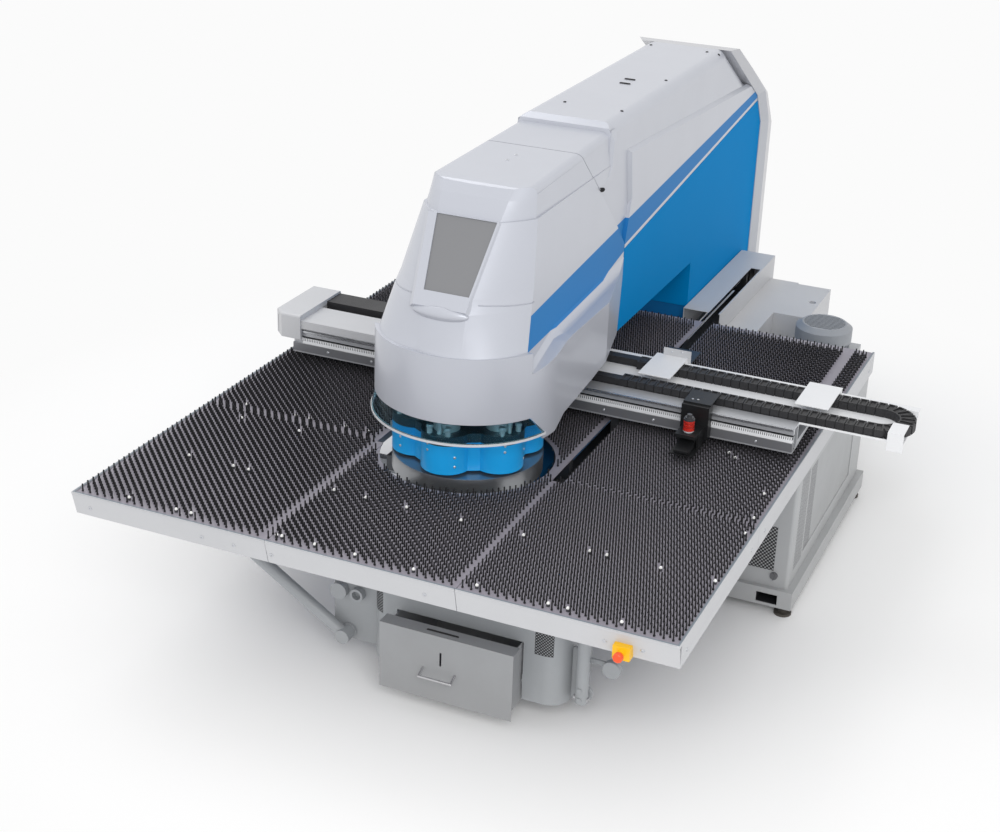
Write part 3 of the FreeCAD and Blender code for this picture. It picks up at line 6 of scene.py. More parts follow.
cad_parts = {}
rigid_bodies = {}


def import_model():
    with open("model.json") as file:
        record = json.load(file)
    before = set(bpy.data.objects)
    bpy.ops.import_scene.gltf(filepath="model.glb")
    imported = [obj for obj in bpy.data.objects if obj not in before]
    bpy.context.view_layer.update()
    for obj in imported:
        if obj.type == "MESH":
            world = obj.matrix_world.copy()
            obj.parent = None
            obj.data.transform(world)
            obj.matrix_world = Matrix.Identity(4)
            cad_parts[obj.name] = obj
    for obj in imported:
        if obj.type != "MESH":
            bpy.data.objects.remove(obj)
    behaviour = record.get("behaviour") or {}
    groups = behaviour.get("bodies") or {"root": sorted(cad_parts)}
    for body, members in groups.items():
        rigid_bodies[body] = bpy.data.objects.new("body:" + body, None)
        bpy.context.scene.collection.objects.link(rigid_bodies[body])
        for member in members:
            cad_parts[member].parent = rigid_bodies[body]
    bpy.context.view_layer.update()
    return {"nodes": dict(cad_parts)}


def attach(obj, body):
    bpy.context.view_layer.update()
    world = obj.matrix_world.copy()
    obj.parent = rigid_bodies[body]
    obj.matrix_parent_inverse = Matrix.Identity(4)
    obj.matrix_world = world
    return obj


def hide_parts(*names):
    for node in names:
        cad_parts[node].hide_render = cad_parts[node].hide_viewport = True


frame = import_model()

# ---- Welded steel C-frame ----
# The press's backbone: a box base, a column at the back and a long arm over the table.
# It is welded from heavy plate and painted blue, and it stands under the covers.


def tone(red, green, blue):
    """A paint chip's 0 to 255 values as the linear colour that Blender keeps."""
    shares = [value / 255 for value in (red, green, blue)]
    linear = tuple(v / 12.92 if v <= 10 / 255 else ((v + 0.055) / 1.055) ** 2.4 for v in shares)
    return linear + (1.0,)


def start_group(name, inputs, outputs):
    """An effect shared by several finishes: a node group with named inputs and outputs."""
    group = bpy.data.node_groups.new(name, "ShaderNodeTree")
    for label, kind, value in inputs:
        socket = group.interface.new_socket(label, in_out="INPUT", socket_type=kind)
        if value is not None:
            socket.default_value = value
    for label, kind in outputs:
        group.interface.new_socket(label, in_out="OUTPUT", socket_type=kind)
    return group, group.nodes.new("NodeGroupInput"), group.nodes.new("NodeGroupOutput")


def noise_node(tree, vector, scale, detail, roughness):
    """A cloudy value; its scale is a number or another value."""
    noise = tree.nodes.new("ShaderNodeTexNoise")
    noise.inputs["Detail"].default_value = detail
    noise.inputs["Roughness"].default_value = roughness
    if isinstance(scale, (int, float)):
        noise.inputs["Scale"].default_value = scale
    else:
        tree.links.new(scale, noise.inputs["Scale"])
    tree.links.new(vector, noise.inputs["Vector"])
    return noise.outputs["Fac"]


def maths(tree, kind, a, b=None, clamp=False):
    """A sum of one or two values, each a number or another value."""
    node = tree.nodes.new("ShaderNodeMath")
    node.operation = kind
    node.use_clamp = clamp
    for socket, value in zip(node.inputs, (a, b)):
        if value is None:
            continue
        if isinstance(value, (int, float)):
            socket.default_value = value
        else:
            tree.links.new(value, socket)
    return node.outputs[0]


def band(tree, value, low, high, to_low=0.0, to_high=1.0):
    """Spreads a value from low..high to to_low..to_high, held at the ends."""
    node = tree.nodes.new("ShaderNodeMapRange")
    for label, number in (("From Min", low), ("From Max", high), ("To Min", to_low), ("To Max", to_high)):
        node.inputs[label].default_value = number
    tree.links.new(value, node.inputs["Value"])
    return node.outputs["Result"]


def mixed(tree, factor, a, b):
    """Colour a turning into colour b as factor goes from 0 to 1."""
    node = tree.nodes.new("ShaderNodeMix")
    node.data_type = "RGBA"
    for socket, value in ((node.inputs["Factor"], factor), (node.inputs["A"], a), (node.inputs["B"], b)):
        if isinstance(value, (int, float, tuple)):
            socket.default_value = value
        else:
            tree.links.new(value, socket)
    return node.outputs["Result"]


# Use marks: slow cloudy smears, fine specks of dust, and a soil that gathers near the floor.
marks, marks_in, marks_out = start_group(
    "use_marks",
    [("Vector", "NodeSocketVector", None),
     ("Smear", "NodeSocketFloat", 0.3), ("Dust", "NodeSocketFloat", 0.2)],
    [("Smears", "NodeSocketFloat"), ("Specks", "NodeSocketFloat"), ("Soil", "NodeSocketFloat")])
cloud = noise_node(marks, marks_in.outputs["Vector"], 3.1, 5.0, 0.62)
smears = maths(marks, "MULTIPLY", band(marks, cloud, 0.42, 0.72), marks_in.outputs["Smear"])
marks.links.new(smears, marks_out.inputs["Smears"])
fine = noise_node(marks, marks_in.outputs["Vector"], 420.0, 2.0, 0.7)
specks = maths(marks, "MULTIPLY", band(marks, fine, 0.62, 0.72), marks_in.outputs["Dust"])
marks.links.new(specks, marks_out.inputs["Specks"])
split = marks.nodes.new("ShaderNodeSeparateXYZ")
marks.links.new(marks_in.outputs["Vector"], split.inputs[0])
soil_height = 0.55
low_down = band(marks, split.outputs["Z"], 0.0, soil_height, 1.0, 0.0)
soiled = maths(marks, "MULTIPLY", maths(marks, "MULTIPLY", low_down, cloud), marks_in.outputs["Dust"])
marks.links.new(soiled, marks_out.inputs["Soil"])

# Paint skin: the orange peel that a sprayed or powder coat leaves, as a height.
skin, skin_in, skin_out = start_group(
    "paint_skin",
    [("Vector", "NodeSocketVector", None),
     ("Scale", "NodeSocketFloat", 260.0), ("Depth", "NodeSocketFloat", 1.0)],
    [("Height", "NodeSocketFloat")])
peel = noise_node(skin, skin_in.outputs["Vector"], skin_in.outputs["Scale"], 1.5, 0.4)
skin.links.new(maths(skin, "MULTIPLY", peel, skin_in.outputs["Depth"]), skin_out.inputs["Height"])


def paint(name, colour, rough=0.4, metal=0.0, coat=0.0, coat_rough=0.1, grain=260.0, relief=0.03,
          smear=0.3, dust=0.2, soil=(120, 112, 100), edge=0.0012, specular=0.5):
    """A painted, plated or moulded finish with its skin, smears, dust and softened edges."""
    material = bpy.data.materials.new(name)
    material.use_nodes = True
    tree = material.node_tree
    shader = tree.nodes["Principled BSDF"]
    place = tree.nodes.new("ShaderNodeTexCoord").outputs["Object"]
    use = tree.nodes.new("ShaderNodeGroup")
    use.node_tree = marks
    use.inputs["Smear"].default_value = smear
    use.inputs["Dust"].default_value = dust
    tree.links.new(place, use.inputs["Vector"])
    base = tree.nodes.new("ShaderNodeRGB")
    base.outputs[0].default_value = colour
    worn = tuple(c * 0.86 for c in colour[:3]) + (1.0,)
    duller = mixed(tree, use.outputs["Smears"], base.outputs[0], worn)
    dirt = maths(tree, "MAXIMUM", use.outputs["Specks"], use.outputs["Soil"])
    tree.links.new(mixed(tree, dirt, duller, tone(*soil)), shader.inputs["Base Color"])
    rougher = maths(tree, "MULTIPLY", use.outputs["Smears"], 0.22)
    tree.links.new(maths(tree, "ADD", rougher, rough, True), shader.inputs["Roughness"])
    shader.inputs["Metallic"].default_value = metal
    shader.inputs["Coat Weight"].default_value = coat
    shader.inputs["Coat Roughness"].default_value = coat_rough
    shader.inputs["Specular IOR Level"].default_value = specular
    skin_node = tree.nodes.new("ShaderNodeGroup")
    skin_node.node_tree = skin
    skin_node.inputs["Scale"].default_value = grain
    tree.links.new(place, skin_node.inputs["Vector"])
    bump = tree.nodes.new("ShaderNodeBump")
    bump.inputs["Strength"].default_value = relief
    bump.inputs["Distance"].default_value = 0.004
    tree.links.new(skin_node.outputs["Height"], bump.inputs["Height"])
    if edge:
        soft = tree.nodes.new("ShaderNodeBevel")
        soft.samples = 4
        soft.inputs["Radius"].default_value = edge
        tree.links.new(soft.outputs["Normal"], bump.inputs["Normal"])
    tree.links.new(bump.outputs["Normal"], shader.inputs["Normal"])
    return material


def finish(material, *names):
    """Gives CAD nodes their finish."""
    for name in names:
        for place in frame["nodes"][name].material_slots:
            place.material = material


frame_paint = paint("frame_paint", tone(10, 108, 168), rough=0.38, coat=0.3, relief=0.06, smear=0.45,
                    dust=0.25)
finish(frame_paint, "frame_base", "frame_column", "frame_arm")

# ---- Levelling feet ----
# Screwed steel feet on rubber discs, one under each corner of the plinths.
# They are turned to take up what the floor is out of level.
foot_rubber = paint("foot_rubber", tone(30, 30, 32), rough=0.62, relief=0.2, grain=900.0, dust=0.5, edge=0)
finish(foot_rubber, "levelling_feet")

# ---- Electrical cabinet on the right ----
# A folded sheet cabinet on a welded plinth with fork pockets, powder coated grey.
# Its front and right side are perforated for air, and its front has a quarter-turn latch.


def axes(material):
    """The X, Y and Z of each point of the piece, in metres."""
    tree = material.node_tree
    split = tree.nodes.new("ShaderNodeSeparateXYZ")
    tree.links.new(tree.nodes.new("ShaderNodeTexCoord").outputs["Object"], split.inputs[0])
    return split.outputs["X"], split.outputs["Y"], split.outputs["Z"]


def beyond(tree, value, edge, soft=0.0006):
    """1 where the value is over the edge, which is a number or another value."""
    return band(tree, maths(tree, "SUBTRACT", value, edge), -soft, soft)


def within(tree, value, low, high, soft=0.0006):
    """1 where the value lies between the two edges."""
    not_over = maths(tree, "SUBTRACT", 1.0, beyond(tree, value, high, soft))
    return maths(tree, "MULTIPLY", beyond(tree, value, low, soft), not_over)


def repeats(tree, value, pitch):
    """Runs from 0 to 1 over each pitch of the value."""
    return maths(tree, "FLOORED_MODULO", maths(tree, "DIVIDE", value, pitch), 1.0)


def distance(tree, across, up):
    """How far a point is from the origin of two values."""
    squares = [maths(tree, "MULTIPLY", side, side) for side in (across, up)]
    return maths(tree, "SQRT", maths(tree, "ADD", *squares))


def all_of(tree, *masks):
    """1 where every mask is 1."""
    total = masks[0]
    for mask in masks[1:]:
        total = maths(tree, "MULTIPLY", total, mask)
    return total


def slope(tree, along, start, level, rise):
    """A slanting line: level at start, with so much rise to each metre."""
    return maths(tree, "ADD", maths(tree, "MULTIPLY", maths(tree, "SUBTRACT", along, start), rise), level)


def lay_over(material, mask, colour):
    """Lays another colour on a finish where the mask is 1."""
    tree = material.node_tree
    base_colour = tree.nodes["Principled BSDF"].inputs["Base Color"]
    tree.links.new(mixed(tree, mask, base_colour.links[0].from_socket, colour), base_colour)


# Perforation: round holes in staggered rows, 1 in a hole.
holes, holes_in, holes_out = start_group(
    "perforation",
    [("U", "NodeSocketFloat", None), ("V", "NodeSocketFloat", None),
     ("Pitch", "NodeSocketFloat", 0.012), ("Radius", "NodeSocketFloat", 0.0036)],
    [("Holes", "NodeSocketFloat")])
hole_pitch = holes_in.outputs["Pitch"]
nearest = []
for stagger in (0.0, 0.5):
    off_centre = []
    for label in ("U", "V"):
        steps = maths(holes, "ADD", maths(holes, "DIVIDE", holes_in.outputs[label], hole_pitch), stagger)
        from_middle = maths(holes, "SUBTRACT", maths(holes, "FLOORED_MODULO", steps, 1.0), 0.5)
        off_centre.append(maths(holes, "MULTIPLY", from_middle, hole_pitch))
    nearest.append(distance(holes, *off_centre))
clear_of_hole = beyond(holes, maths(holes, "MINIMUM", *nearest), holes_in.outputs["Radius"], 0.0004)
holes.links.new(maths(holes, "SUBTRACT", 1.0, clear_of_hole), holes_out.inputs["Holes"])


def dull(material, mask):
    """Takes the metal, the clear coat and the gloss away where the mask is 1."""
    tree = material.node_tree
    shader = tree.nodes["Principled BSDF"]
    bare = maths(tree, "SUBTRACT", 1.0, mask)
    for label in ("Metallic", "Coat Weight"):
        socket = shader.inputs[label]
        tree.links.new(maths(tree, "MULTIPLY", bare, socket.default_value), socket)
    gloss = shader.inputs["Roughness"]
    flat = maths(tree, "MULTIPLY", mask, 0.62)
    tree.links.new(maths(tree, "MAXIMUM", gloss.links[0].from_socket, flat), gloss)


def perforate(material, along, across, *limits, pitch, radius, depth=tone(34, 34, 37)):
    """Dark round holes over the part of a sheet that the limits leave."""
    tree = material.node_tree
    grid = tree.nodes.new("ShaderNodeGroup")
    grid.node_tree = holes
    grid.inputs["Pitch"].default_value = pitch
    grid.inputs["Radius"].default_value = radius
    tree.links.new(along, grid.inputs["U"])
    tree.links.new(across, grid.inputs["V"])
    lay_over(material, all_of(tree, grid.outputs["Holes"], *limits), depth)


cabinet_paint, plinth_paint = (
    paint(name, tone(176, 178, 180), rough=0.42, relief=0.10, grain=420.0, smear=0.25, dust=0.3)
    for name in ("cabinet_paint", "plinth_paint"))
finish(cabinet_paint, "right_cabinet", "oil_tank")
finish(plinth_paint, "cabinet_base")
# Painted shade: the fork pockets are painted dark inside, on all of the plinth that lies in from its outer
# faces.
sheet = plinth_paint.node_tree
x, y, z = axes(plinth_paint)
pockets = all_of(sheet, within(sheet, x, 0.76, 1.23), within(sheet, y, -0.553, 1.025),
                 within(sheet, z, 0.055, 0.145))
lay_over(plinth_paint, pockets, tone(40, 40, 43))
sheet = cabinet_paint.node_tree
x, y, z = axes(cabinet_paint)
perforate(cabinet_paint, x, z, within(sheet, x, 0.965, 1.125), within(sheet, z, 0.24, 0.49),
          within(sheet, y, -0.54, -0.52), pitch=0.02, radius=0.0068)
# The right side has finer holes, in a strip of the cabinet and a strip of the sheet let into it.
fine_holes = {"pitch": 0.016, "radius": 0.0044, "depth": tone(84, 84, 88)}
perforate(cabinet_paint, y, z, within(sheet, y, -0.45, -0.29), within(sheet, z, 0.22, 0.74),
          beyond(sheet, x, 1.2), **fine_holes)
mesh_steel = paint("mesh_steel", tone(170, 172, 174), rough=0.45, metal=0.2, relief=0.1, dust=0.3)
finish(mesh_steel, "cabinet_grille")
x, y, z = axes(mesh_steel)
perforate(mesh_steel, y, z, within(mesh_steel.node_tree, y, -0.4, -0.12), **fine_holes)
latch_steel = paint("latch_steel", tone(200, 200, 202), rough=0.25, metal=0.9, smear=0.2, dust=0.1)
finish(latch_steel, "drawer_handle")
lock_steel = paint("lock_steel", tone(120, 121, 124), rough=0.35, metal=0.8, smear=0.2, dust=0.1)
finish(lock_steel, "door_latch")

# ---- Hydraulic pump motor ----
# An upright flange motor over the oil tank with a cast cowl and slots for air.
# Both are painted grey, and the fan inside is moulded in black plastic.
motor_paint = paint("motor_paint", tone(150, 154, 160), rough=0.45, relief=0.2, grain=500.0, dust=0.25)
finish(motor_paint, "pump_motor", "fan_cowl")
moulded_black = paint("moulded_black", tone(34, 34, 37), rough=0.48, relief=0.12, grain=800.0, smear=0.3,
                      dust=0.35)
finish(moulded_black, "cooling_fan", "chain_duct", "energy_chain", "drive_motor")

# ---- Base cover, brackets and struts ----
# A sheet cover with rounded, perforated corners closes the base.
# Tubes and brackets in the same grey powder coat carry the table.
base_paint, corner_paint = (
    paint(name, tone(166, 170, 174), rough=0.4, relief=0.10, grain=420.0, smear=0.3, dust=0.35)
    for name in ("base_paint", "corner_paint"))
finish(base_paint, "base_brackets", "table_struts", "table_subframe")
finish(corner_paint, "base_cover")
sheet = corner_paint.node_tree
x, y, z = axes(corner_paint)
corner_radius, corner_y = 0.1, -1.8885
for corner_x, x_low, x_high in ((0.465, 0.418, 0.507), (-0.315, -0.45, -0.345)):
    turn = maths(sheet, "ARCTAN2", maths(sheet, "SUBTRACT", y, corner_y),
                 maths(sheet, "SUBTRACT", x, corner_x))
    round_corner = maths(sheet, "MULTIPLY", turn, corner_radius)
    perforate(corner_paint, round_corner, z, within(sheet, x, x_low, x_high), within(sheet, z, 0.37, 0.495),
              within(sheet, y, -2.0, -1.87), pitch=0.015, radius=0.0052)

# ---- Slug drawer ----
# A folded steel bin on runners that takes the punched slugs, with a bent wire handle.
# It is painted grey, and a black slot with round ends is let into its lip.
drawer_paint = paint("drawer_paint", tone(154, 156, 159), rough=0.36, relief=0.08, grain=420.0, smear=0.3,
                     dust=0.3)
finish(drawer_paint, "slug_drawer")


def clear_selection():
    """Leaves edit mode and selects nothing."""
    if bpy.context.object and bpy.context.object.mode != "OBJECT":
        bpy.ops.object.mode_set(mode="OBJECT")
    bpy.ops.object.select_all(action="DESELECT")


def take_up(piece):
    """Makes the piece the only one selected, and the active one."""
    clear_selection()
    piece.select_set(True)
    bpy.context.view_layer.objects.active = piece


def pick(piece, kind, wanted):
    """Goes into edit mode with just the faces, edges or corners selected that are wanted."""
    bpy.ops.object.mode_set(mode="EDIT")
    bpy.ops.mesh.select_mode(type=kind)
    bpy.ops.mesh.select_all(action="DESELECT")
    shell = bmesh.from_edit_mesh(piece.data)
    for item in {"FACE": shell.faces, "EDGE": shell.edges, "VERT": shell.verts}[kind]:
        item.select_set(wanted(item))
    bmesh.update_edit_mesh(piece.data)


def pick_top(piece):
    """Goes into edit mode with the faces selected that look up."""
    pick(piece, "FACE", lambda face: face.normal.z > 0.9)


def draw_out(length):
    """Extrudes the selected faces along Z."""
    bpy.ops.mesh.extrude_region_move(TRANSFORM_OT_translate={"value": (0, 0, length)})


def apply_all(piece):
    """Applies the piece's modifiers in their order."""
    take_up(piece)
    for modifier in list(piece.modifiers):
        bpy.ops.object.modifier_apply(modifier=modifier.name)


def set_down(piece, material, body="frame"):
    """Puts the piece's place into its mesh, gives it its finish and lets it ride on its body."""
    take_up(piece)
    bpy.ops.object.transform_apply(location=True, rotation=True, scale=True)
    piece.data.materials.clear()
    piece.data.materials.append(material)
    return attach(piece, body)


def seat(name, start, heading):
    """Where a line from start first meets a CAD node, and which way that face looks."""
    met, place, normal, _ = frame["nodes"][name].ray_cast(Vector(start), Vector(heading).normalized())
    if not met:
        raise ValueError(f"no face of {name} on the line from {start}")
    return place, normal


def button_screw(radius):
    """A button-head screw: a low dome with a driving socket, its seat at the origin and its head along Z."""
    clear_selection()
    bpy.ops.mesh.primitive_cylinder_add(vertices=12, radius=radius, depth=radius * 0.5,
                                        location=(0, 0, radius * 0.2))
    screw = bpy.context.object
    pick_top(screw)
    bpy.ops.mesh.inset(thickness=radius * 0.28)
    bpy.ops.transform.translate(value=(0, 0, radius * 0.22))
    bpy.ops.mesh.inset(thickness=radius * 0.3)
    draw_out(-radius * 0.4)
    bpy.ops.object.mode_set(mode="OBJECT")
    bpy.ops.object.shade_smooth_by_angle(angle=math.radians(35))
    return screw


def stand(pattern, place, normal):
    """A copy of a pattern, with its own mesh, set on a place and turned to the face there."""
    copy = pattern.copy()
    copy.data = pattern.data.copy()
    bpy.context.scene.collection.objects.link(copy)
    facing = Vector(normal).to_track_quat("Z", "Y").to_matrix().to_4x4()
    copy.matrix_world = Matrix.Translation(place) @ facing
    return copy


def join(name, parts):
    """Makes one piece of several."""
    clear_selection()
    for part in parts:
        part.select_set(True)
    bpy.context.view_layer.objects.active = parts[0]
    bpy.ops.object.join()
    joined = bpy.context.object
    joined.name = name
    return joined


def fit(name, pattern, seats, material, body="frame"):
    """Copies a small pattern to each seat, a place with the way that it faces, and joins the copies."""
    copies = [stand(pattern, place, normal) for place, normal in seats]
    bpy.data.objects.remove(pattern)
    return set_down(join(name, copies), material, body)


def rounded_plate(length, width, corner, height):
    """A flat plate with round corners on the origin, left in edit mode with its top face selected."""
    clear_selection()
    bpy.ops.mesh.primitive_cylinder_add(vertices=24, radius=corner, depth=height, location=(0, 0, height / 2),
                                        rotation=(0, 0, math.radians(7.5)))
    plate = bpy.context.object
    bpy.ops.object.transform_apply(location=True, rotation=True, scale=True)
    for axis, reach in ((0, length / 2 - corner), (1, width / 2 - corner)):
        for way in (1, -1):
            pick(plate, "VERT", lambda corner_point: corner_point.co[axis] * way > 0)
            bpy.ops.transform.translate(value=(way * reach, 0, 0) if axis == 0 else (0, way * reach, 0))
            bpy.ops.object.mode_set(mode="OBJECT")
    pick_top(plate)
    return plate


def sunk_plate(length, width, corner, height, border, depth):
    """A rounded plate whose middle is sunk within a border."""
    plate = rounded_plate(length, width, corner, height)
    bpy.ops.mesh.inset(thickness=border)
    draw_out(-depth)
    bpy.ops.object.mode_set(mode="OBJECT")
    return plate


upward = Vector((0, 0, 1))
slot_place = Vector((0.0175, -2.1025, 0.4265))
fit("lip_slot", sunk_plate(0.158, 0.012, 0.006, 0.003, 0.0018, 0.0015), [(slot_place, upward)], moulded_black,
    "slug_drawer")

# ---- Side brackets of the base ----
# Flat brackets with hubs for the fold-down supports. The left one is a full plate; the right one is a short
# plate at the leg with a slim arm out to its hub.
left_plate = bpy.data.objects.new("left_plate", frame["nodes"]["base_brackets"].data.copy())
bpy.context.scene.collection.objects.link(left_plate)
take_up(left_plate)
bpy.ops.object.mode_set(mode="EDIT")
bpy.ops.mesh.select_all(action="SELECT")
bpy.ops.mesh.remove_doubles(threshold=0.00002)
pick(left_plate, "VERT", lambda corner_point: corner_point.co.x > 0.3)
bpy.ops.mesh.delete(type="VERT")
bpy.ops.object.mode_set(mode="OBJECT")
bracket_parts = [left_plate]
# Each has its length, width, corner and thickness, then the middle of its back.
leg_plate = ((0.070, 0.27, 0.008, 0.012), (0.600, -1.8805, 0.260))
leg_hub = ((0.080, 0.080, 0.0399, 0.014), (0.635, -1.8915, 0.175))
slim_arm = ((0.205, 0.024, 0.011, 0.008), (0.7025, -1.8915, 0.352))
arm_hub = ((0.084, 0.084, 0.0419, 0.030), (0.762, -1.8985, 0.345))
for size, back in (leg_plate, leg_hub, slim_arm, arm_hub):
    pattern = rounded_plate(*size)
    bpy.ops.mesh.inset(thickness=min(size[:2]) * 0.08)
    bpy.ops.transform.translate(value=(0, 0, 0.0015))
    bpy.ops.object.mode_set(mode="OBJECT")
    bracket_parts.append(stand(pattern, back, (0, -1, 0)))
    bpy.data.objects.remove(pattern)
side_brackets = set_down(join("side_brackets", bracket_parts), base_paint)
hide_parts("base_brackets")
# Hexagon bolts clamp the foot of the leg from both sides.
clear_selection()
bpy.ops.mesh.primitive_cylinder_add(vertices=6, radius=0.013, depth=0.010, location=(0, 0, 0.004))
hexagon = bpy.context.object
pick_top(hexagon)
bpy.ops.mesh.inset(thickness=0.0025)
draw_out(0.0018)
bpy.ops.object.mode_set(mode="OBJECT")
leg_seats = [seat("table_struts", (from_x, -1.94, 0.172), (way, 0, 0))
             for from_x, way in ((3.0, -1), (0.3, 1))]
fit("leg_bolts", hexagon, leg_seats, latch_steel)

# ---- Table decks ----
# Six folded steel sheets with deep rims, powder coated light grey, laid on the tubes.
# Their tops between the light rims are painted darker as painted shade of the tufts, and small button-head
# screws hold the rims.
cover_paint, deck_paint = (
    paint(name, tone(196, 197, 200), rough=0.42, relief=0.08, grain=420.0, smear=0.22, dust=0.15)
    for name in ("cover_paint", "deck_paint"))
finish(cover_paint, "drive_cover", "rear_boxes", "beam_cover", "beam_end_cap")
finish(deck_paint, "decks_front", "decks_rear")
sheet = deck_paint.node_tree
x, y, z = axes(deck_paint)
# Painted shade: the tops between the rims are painted darker for the shade that the dense tufts cast on them.
deck_top_shade = all_of(sheet, within(sheet, z, 0.9032, 0.9125), within(sheet, x, -1.663, 1.213),
                  beyond(sheet, y, -2.4765))
lay_over(deck_paint, deck_top_shade, tone(146, 142, 152))
# Painted shade: the rims' inner lips are painted a darker blue-grey for the shade on them.
rim_lip_shade = all_of(sheet, beyond(sheet, z, 0.9138), within(sheet, x, -1.672, 1.222), beyond(sheet, y, -2.4855))
lay_over(deck_paint, rim_lip_shade, tone(122, 131, 140))
screw_steel = paint("screw_steel", tone(206, 208, 212), rough=0.28, metal=0.9, relief=0.02, grain=900.0,
                    smear=0.2, dust=0.0, edge=0)
rim_z = 0.842
front_rim = (-1.59, -0.995, -0.831, -0.64, 0.1, 0.906, 1.068)
side_rims = (("decks_front", -2.38), ("decks_front", -1.46), ("decks_rear", -1.25), ("decks_rear", 0.2),
             ("decks_rear", 0.86))
rim_seats = [seat("decks_front", (rim_x, -3.0, rim_z), (0, 1, 0)) for rim_x in front_rim]
for from_x, way in ((3.0, -1), (-3.0, 1)):
    rim_seats += [seat(deck, (from_x, rim_y, rim_z), (way, 0, 0)) for deck, rim_y in side_rims]
fit("rim_screws", button_screw(0.009), rim_seats, screw_steel)

# ---- Transfer balls ----
# White plastic balls in short dark cups, pressed into the decks between the brushes.
# They stand as high as the bristles, so that a heavy sheet rolls in and out.
ball_white = paint("ball_white", tone(250, 250, 248), rough=0.3, relief=0.02, grain=900.0,
                   smear=0.15, dust=0.05, edge=0)
cup = ball_white.node_tree
cup_top = 0.922
in_cup = maths(cup, "SUBTRACT", 1.0, beyond(cup, axes(ball_white)[2], cup_top))
lay_over(ball_white, in_cup, tone(70, 70, 74))
front_row = (-1.402, -1.152, -1.074, -0.637, -0.61, -0.448, -0.252, 0.027, 0.32, 0.64, 0.726, 0.959)
middle_row = (-1.405, -1.161, -1.078, -0.624, -0.46, -0.253, 0.018, 0.32, 0.632, 0.711, 0.955, 1.197)
ball_places = [(ball_x, -2.429) for ball_x in front_row] + [(ball_x, -1.9385) for ball_x in middle_row]
ball_places += [(-1.413, -1.4585), (-1.084, -1.4585), (-1.477, -1.3045), (-1.191, -1.3045), (-1.112, -1.3045),
                (-0.908, -1.3045), (-0.782, -1.3045), (1.189, -1.4705), (1.183, -1.3095), (1.157, -1.0545),
                (0.924, -0.7435), (0.881, -0.7025)]
clear_selection()
bpy.ops.mesh.primitive_cylinder_add(vertices=12, radius=0.0078, depth=0.030, location=(0, 0, 0.015))
ball = bpy.context.object
pick_top(ball)
bpy.ops.mesh.inset(thickness=0.0012)
for lift, shrink in ((0.0034, 0.9), (0.0022, 0.62), (0.0009, 0.3)):
    draw_out(lift)
    bpy.ops.transform.resize(value=(shrink, shrink, 1.0))
bpy.ops.object.mode_set(mode="OBJECT")
bpy.ops.object.shade_smooth_by_angle(angle=math.radians(50))
cup_foot = 0.9105
ball_seats = [(Vector((ball_x, ball_y, cup_foot)), upward) for ball_x, ball_y in ball_places]
fit("transfer_balls", ball, ball_seats, ball_white)

# ---- Brush pins ----
# Over ten thousand short stiff tufts of black bristle in moulded feet, pressed into the decks in a
# five-spot pattern, forty by forty millimetres, so that a sheet slides over them without a scratch.
pin_pitch = 0.04
foot_middle, bristle_length = 0.9135, 0.0300
turret_x, turret_y = -0.255, -1.2785
turret_clear, ball_clear = 0.437, 0.013
bristle = paint("bristle", tone(26, 26, 29), rough=0.7, relief=0.5, grain=2600.0, smear=0.4, dust=0.4,
                soil=(96, 94, 98), edge=0)


def brush_field(name, x0, x1, y0, y1):
    """One deck's tufts: a tuft is repeated, then the turret, the balls and the bare strip are cleared."""
    parts = []
    for shift in (0.0, pin_pitch / 2):
        clear_selection()
        bpy.ops.mesh.primitive_cylinder_add(vertices=6, radius=0.0052, depth=0.006,
                                            location=(x0 + shift, y0 + shift, foot_middle))
        tuft = bpy.context.object
        pick_top(tuft)
        bpy.ops.mesh.inset(thickness=0.0015)
        draw_out(bristle_length)
        bpy.ops.transform.resize(value=(1.1, 1.1, 1.0))
        bpy.ops.mesh.inset(thickness=0.0012)
        bpy.ops.transform.translate(value=(0, 0, 0.0012))
        bpy.ops.object.mode_set(mode="OBJECT")
        for axis, length in ((0, x1 - x0), (1, y1 - y0)):
            row = tuft.modifiers.new("row", "ARRAY")
            row.use_relative_offset = False
            row.use_constant_offset = True
            row.constant_offset_displace = [pin_pitch if axis == k else 0.0 for k in range(3)]
            row.count = int((length - shift) / pin_pitch + 1e-6) + 1
        apply_all(tuft)
        parts.append(tuft)
    field = join(name, parts)
    bpy.ops.object.transform_apply(location=True, rotation=True, scale=True)
    balls_here = [place for place in ball_places if x0 < place[0] < x1 and y0 < place[1] < y1]

    def in_the_way(corner_point):
        spot = corner_point.co.xy[:]
        near_turret = math.dist(spot, (turret_x, turret_y)) < turret_clear
        on_bare_strip = 1.06 < spot[0] < 1.125 and spot[1] > 0.16
        return near_turret or on_bare_strip or any(
            math.dist(spot, place) < ball_clear for place in balls_here)

    pick(field, "VERT", in_the_way)
    bpy.ops.mesh.select_linked()
    bpy.ops.mesh.delete(type="VERT")
    return set_down(field, bristle)


left_edge, right_edge = -1.638, 1.208
front_edge, front_seam, rear_seam, rear_edge = -2.4515, -1.3680, -1.3450, 0.9000
left_front = brush_field("tufts_left_front", left_edge, -0.705, front_edge, front_seam)
left_rear = brush_field("tufts_left_rear", left_edge, -0.725, rear_seam, rear_edge)
centre_front = brush_field("tufts_centre_front", -0.665, 0.230, front_edge, front_seam)
centre_rear = brush_field("tufts_centre_rear", -0.635, 0.195, rear_seam, rear_edge)
right_front = brush_field("tufts_right_front", 0.265, right_edge, front_edge, front_seam)
right_rear = brush_field("tufts_right_rear", 0.295, right_edge, rear_seam, rear_edge)
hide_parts("pins_left")
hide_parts("pins_centre_front")
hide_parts("pins_centre_rear")
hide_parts("pins_right")

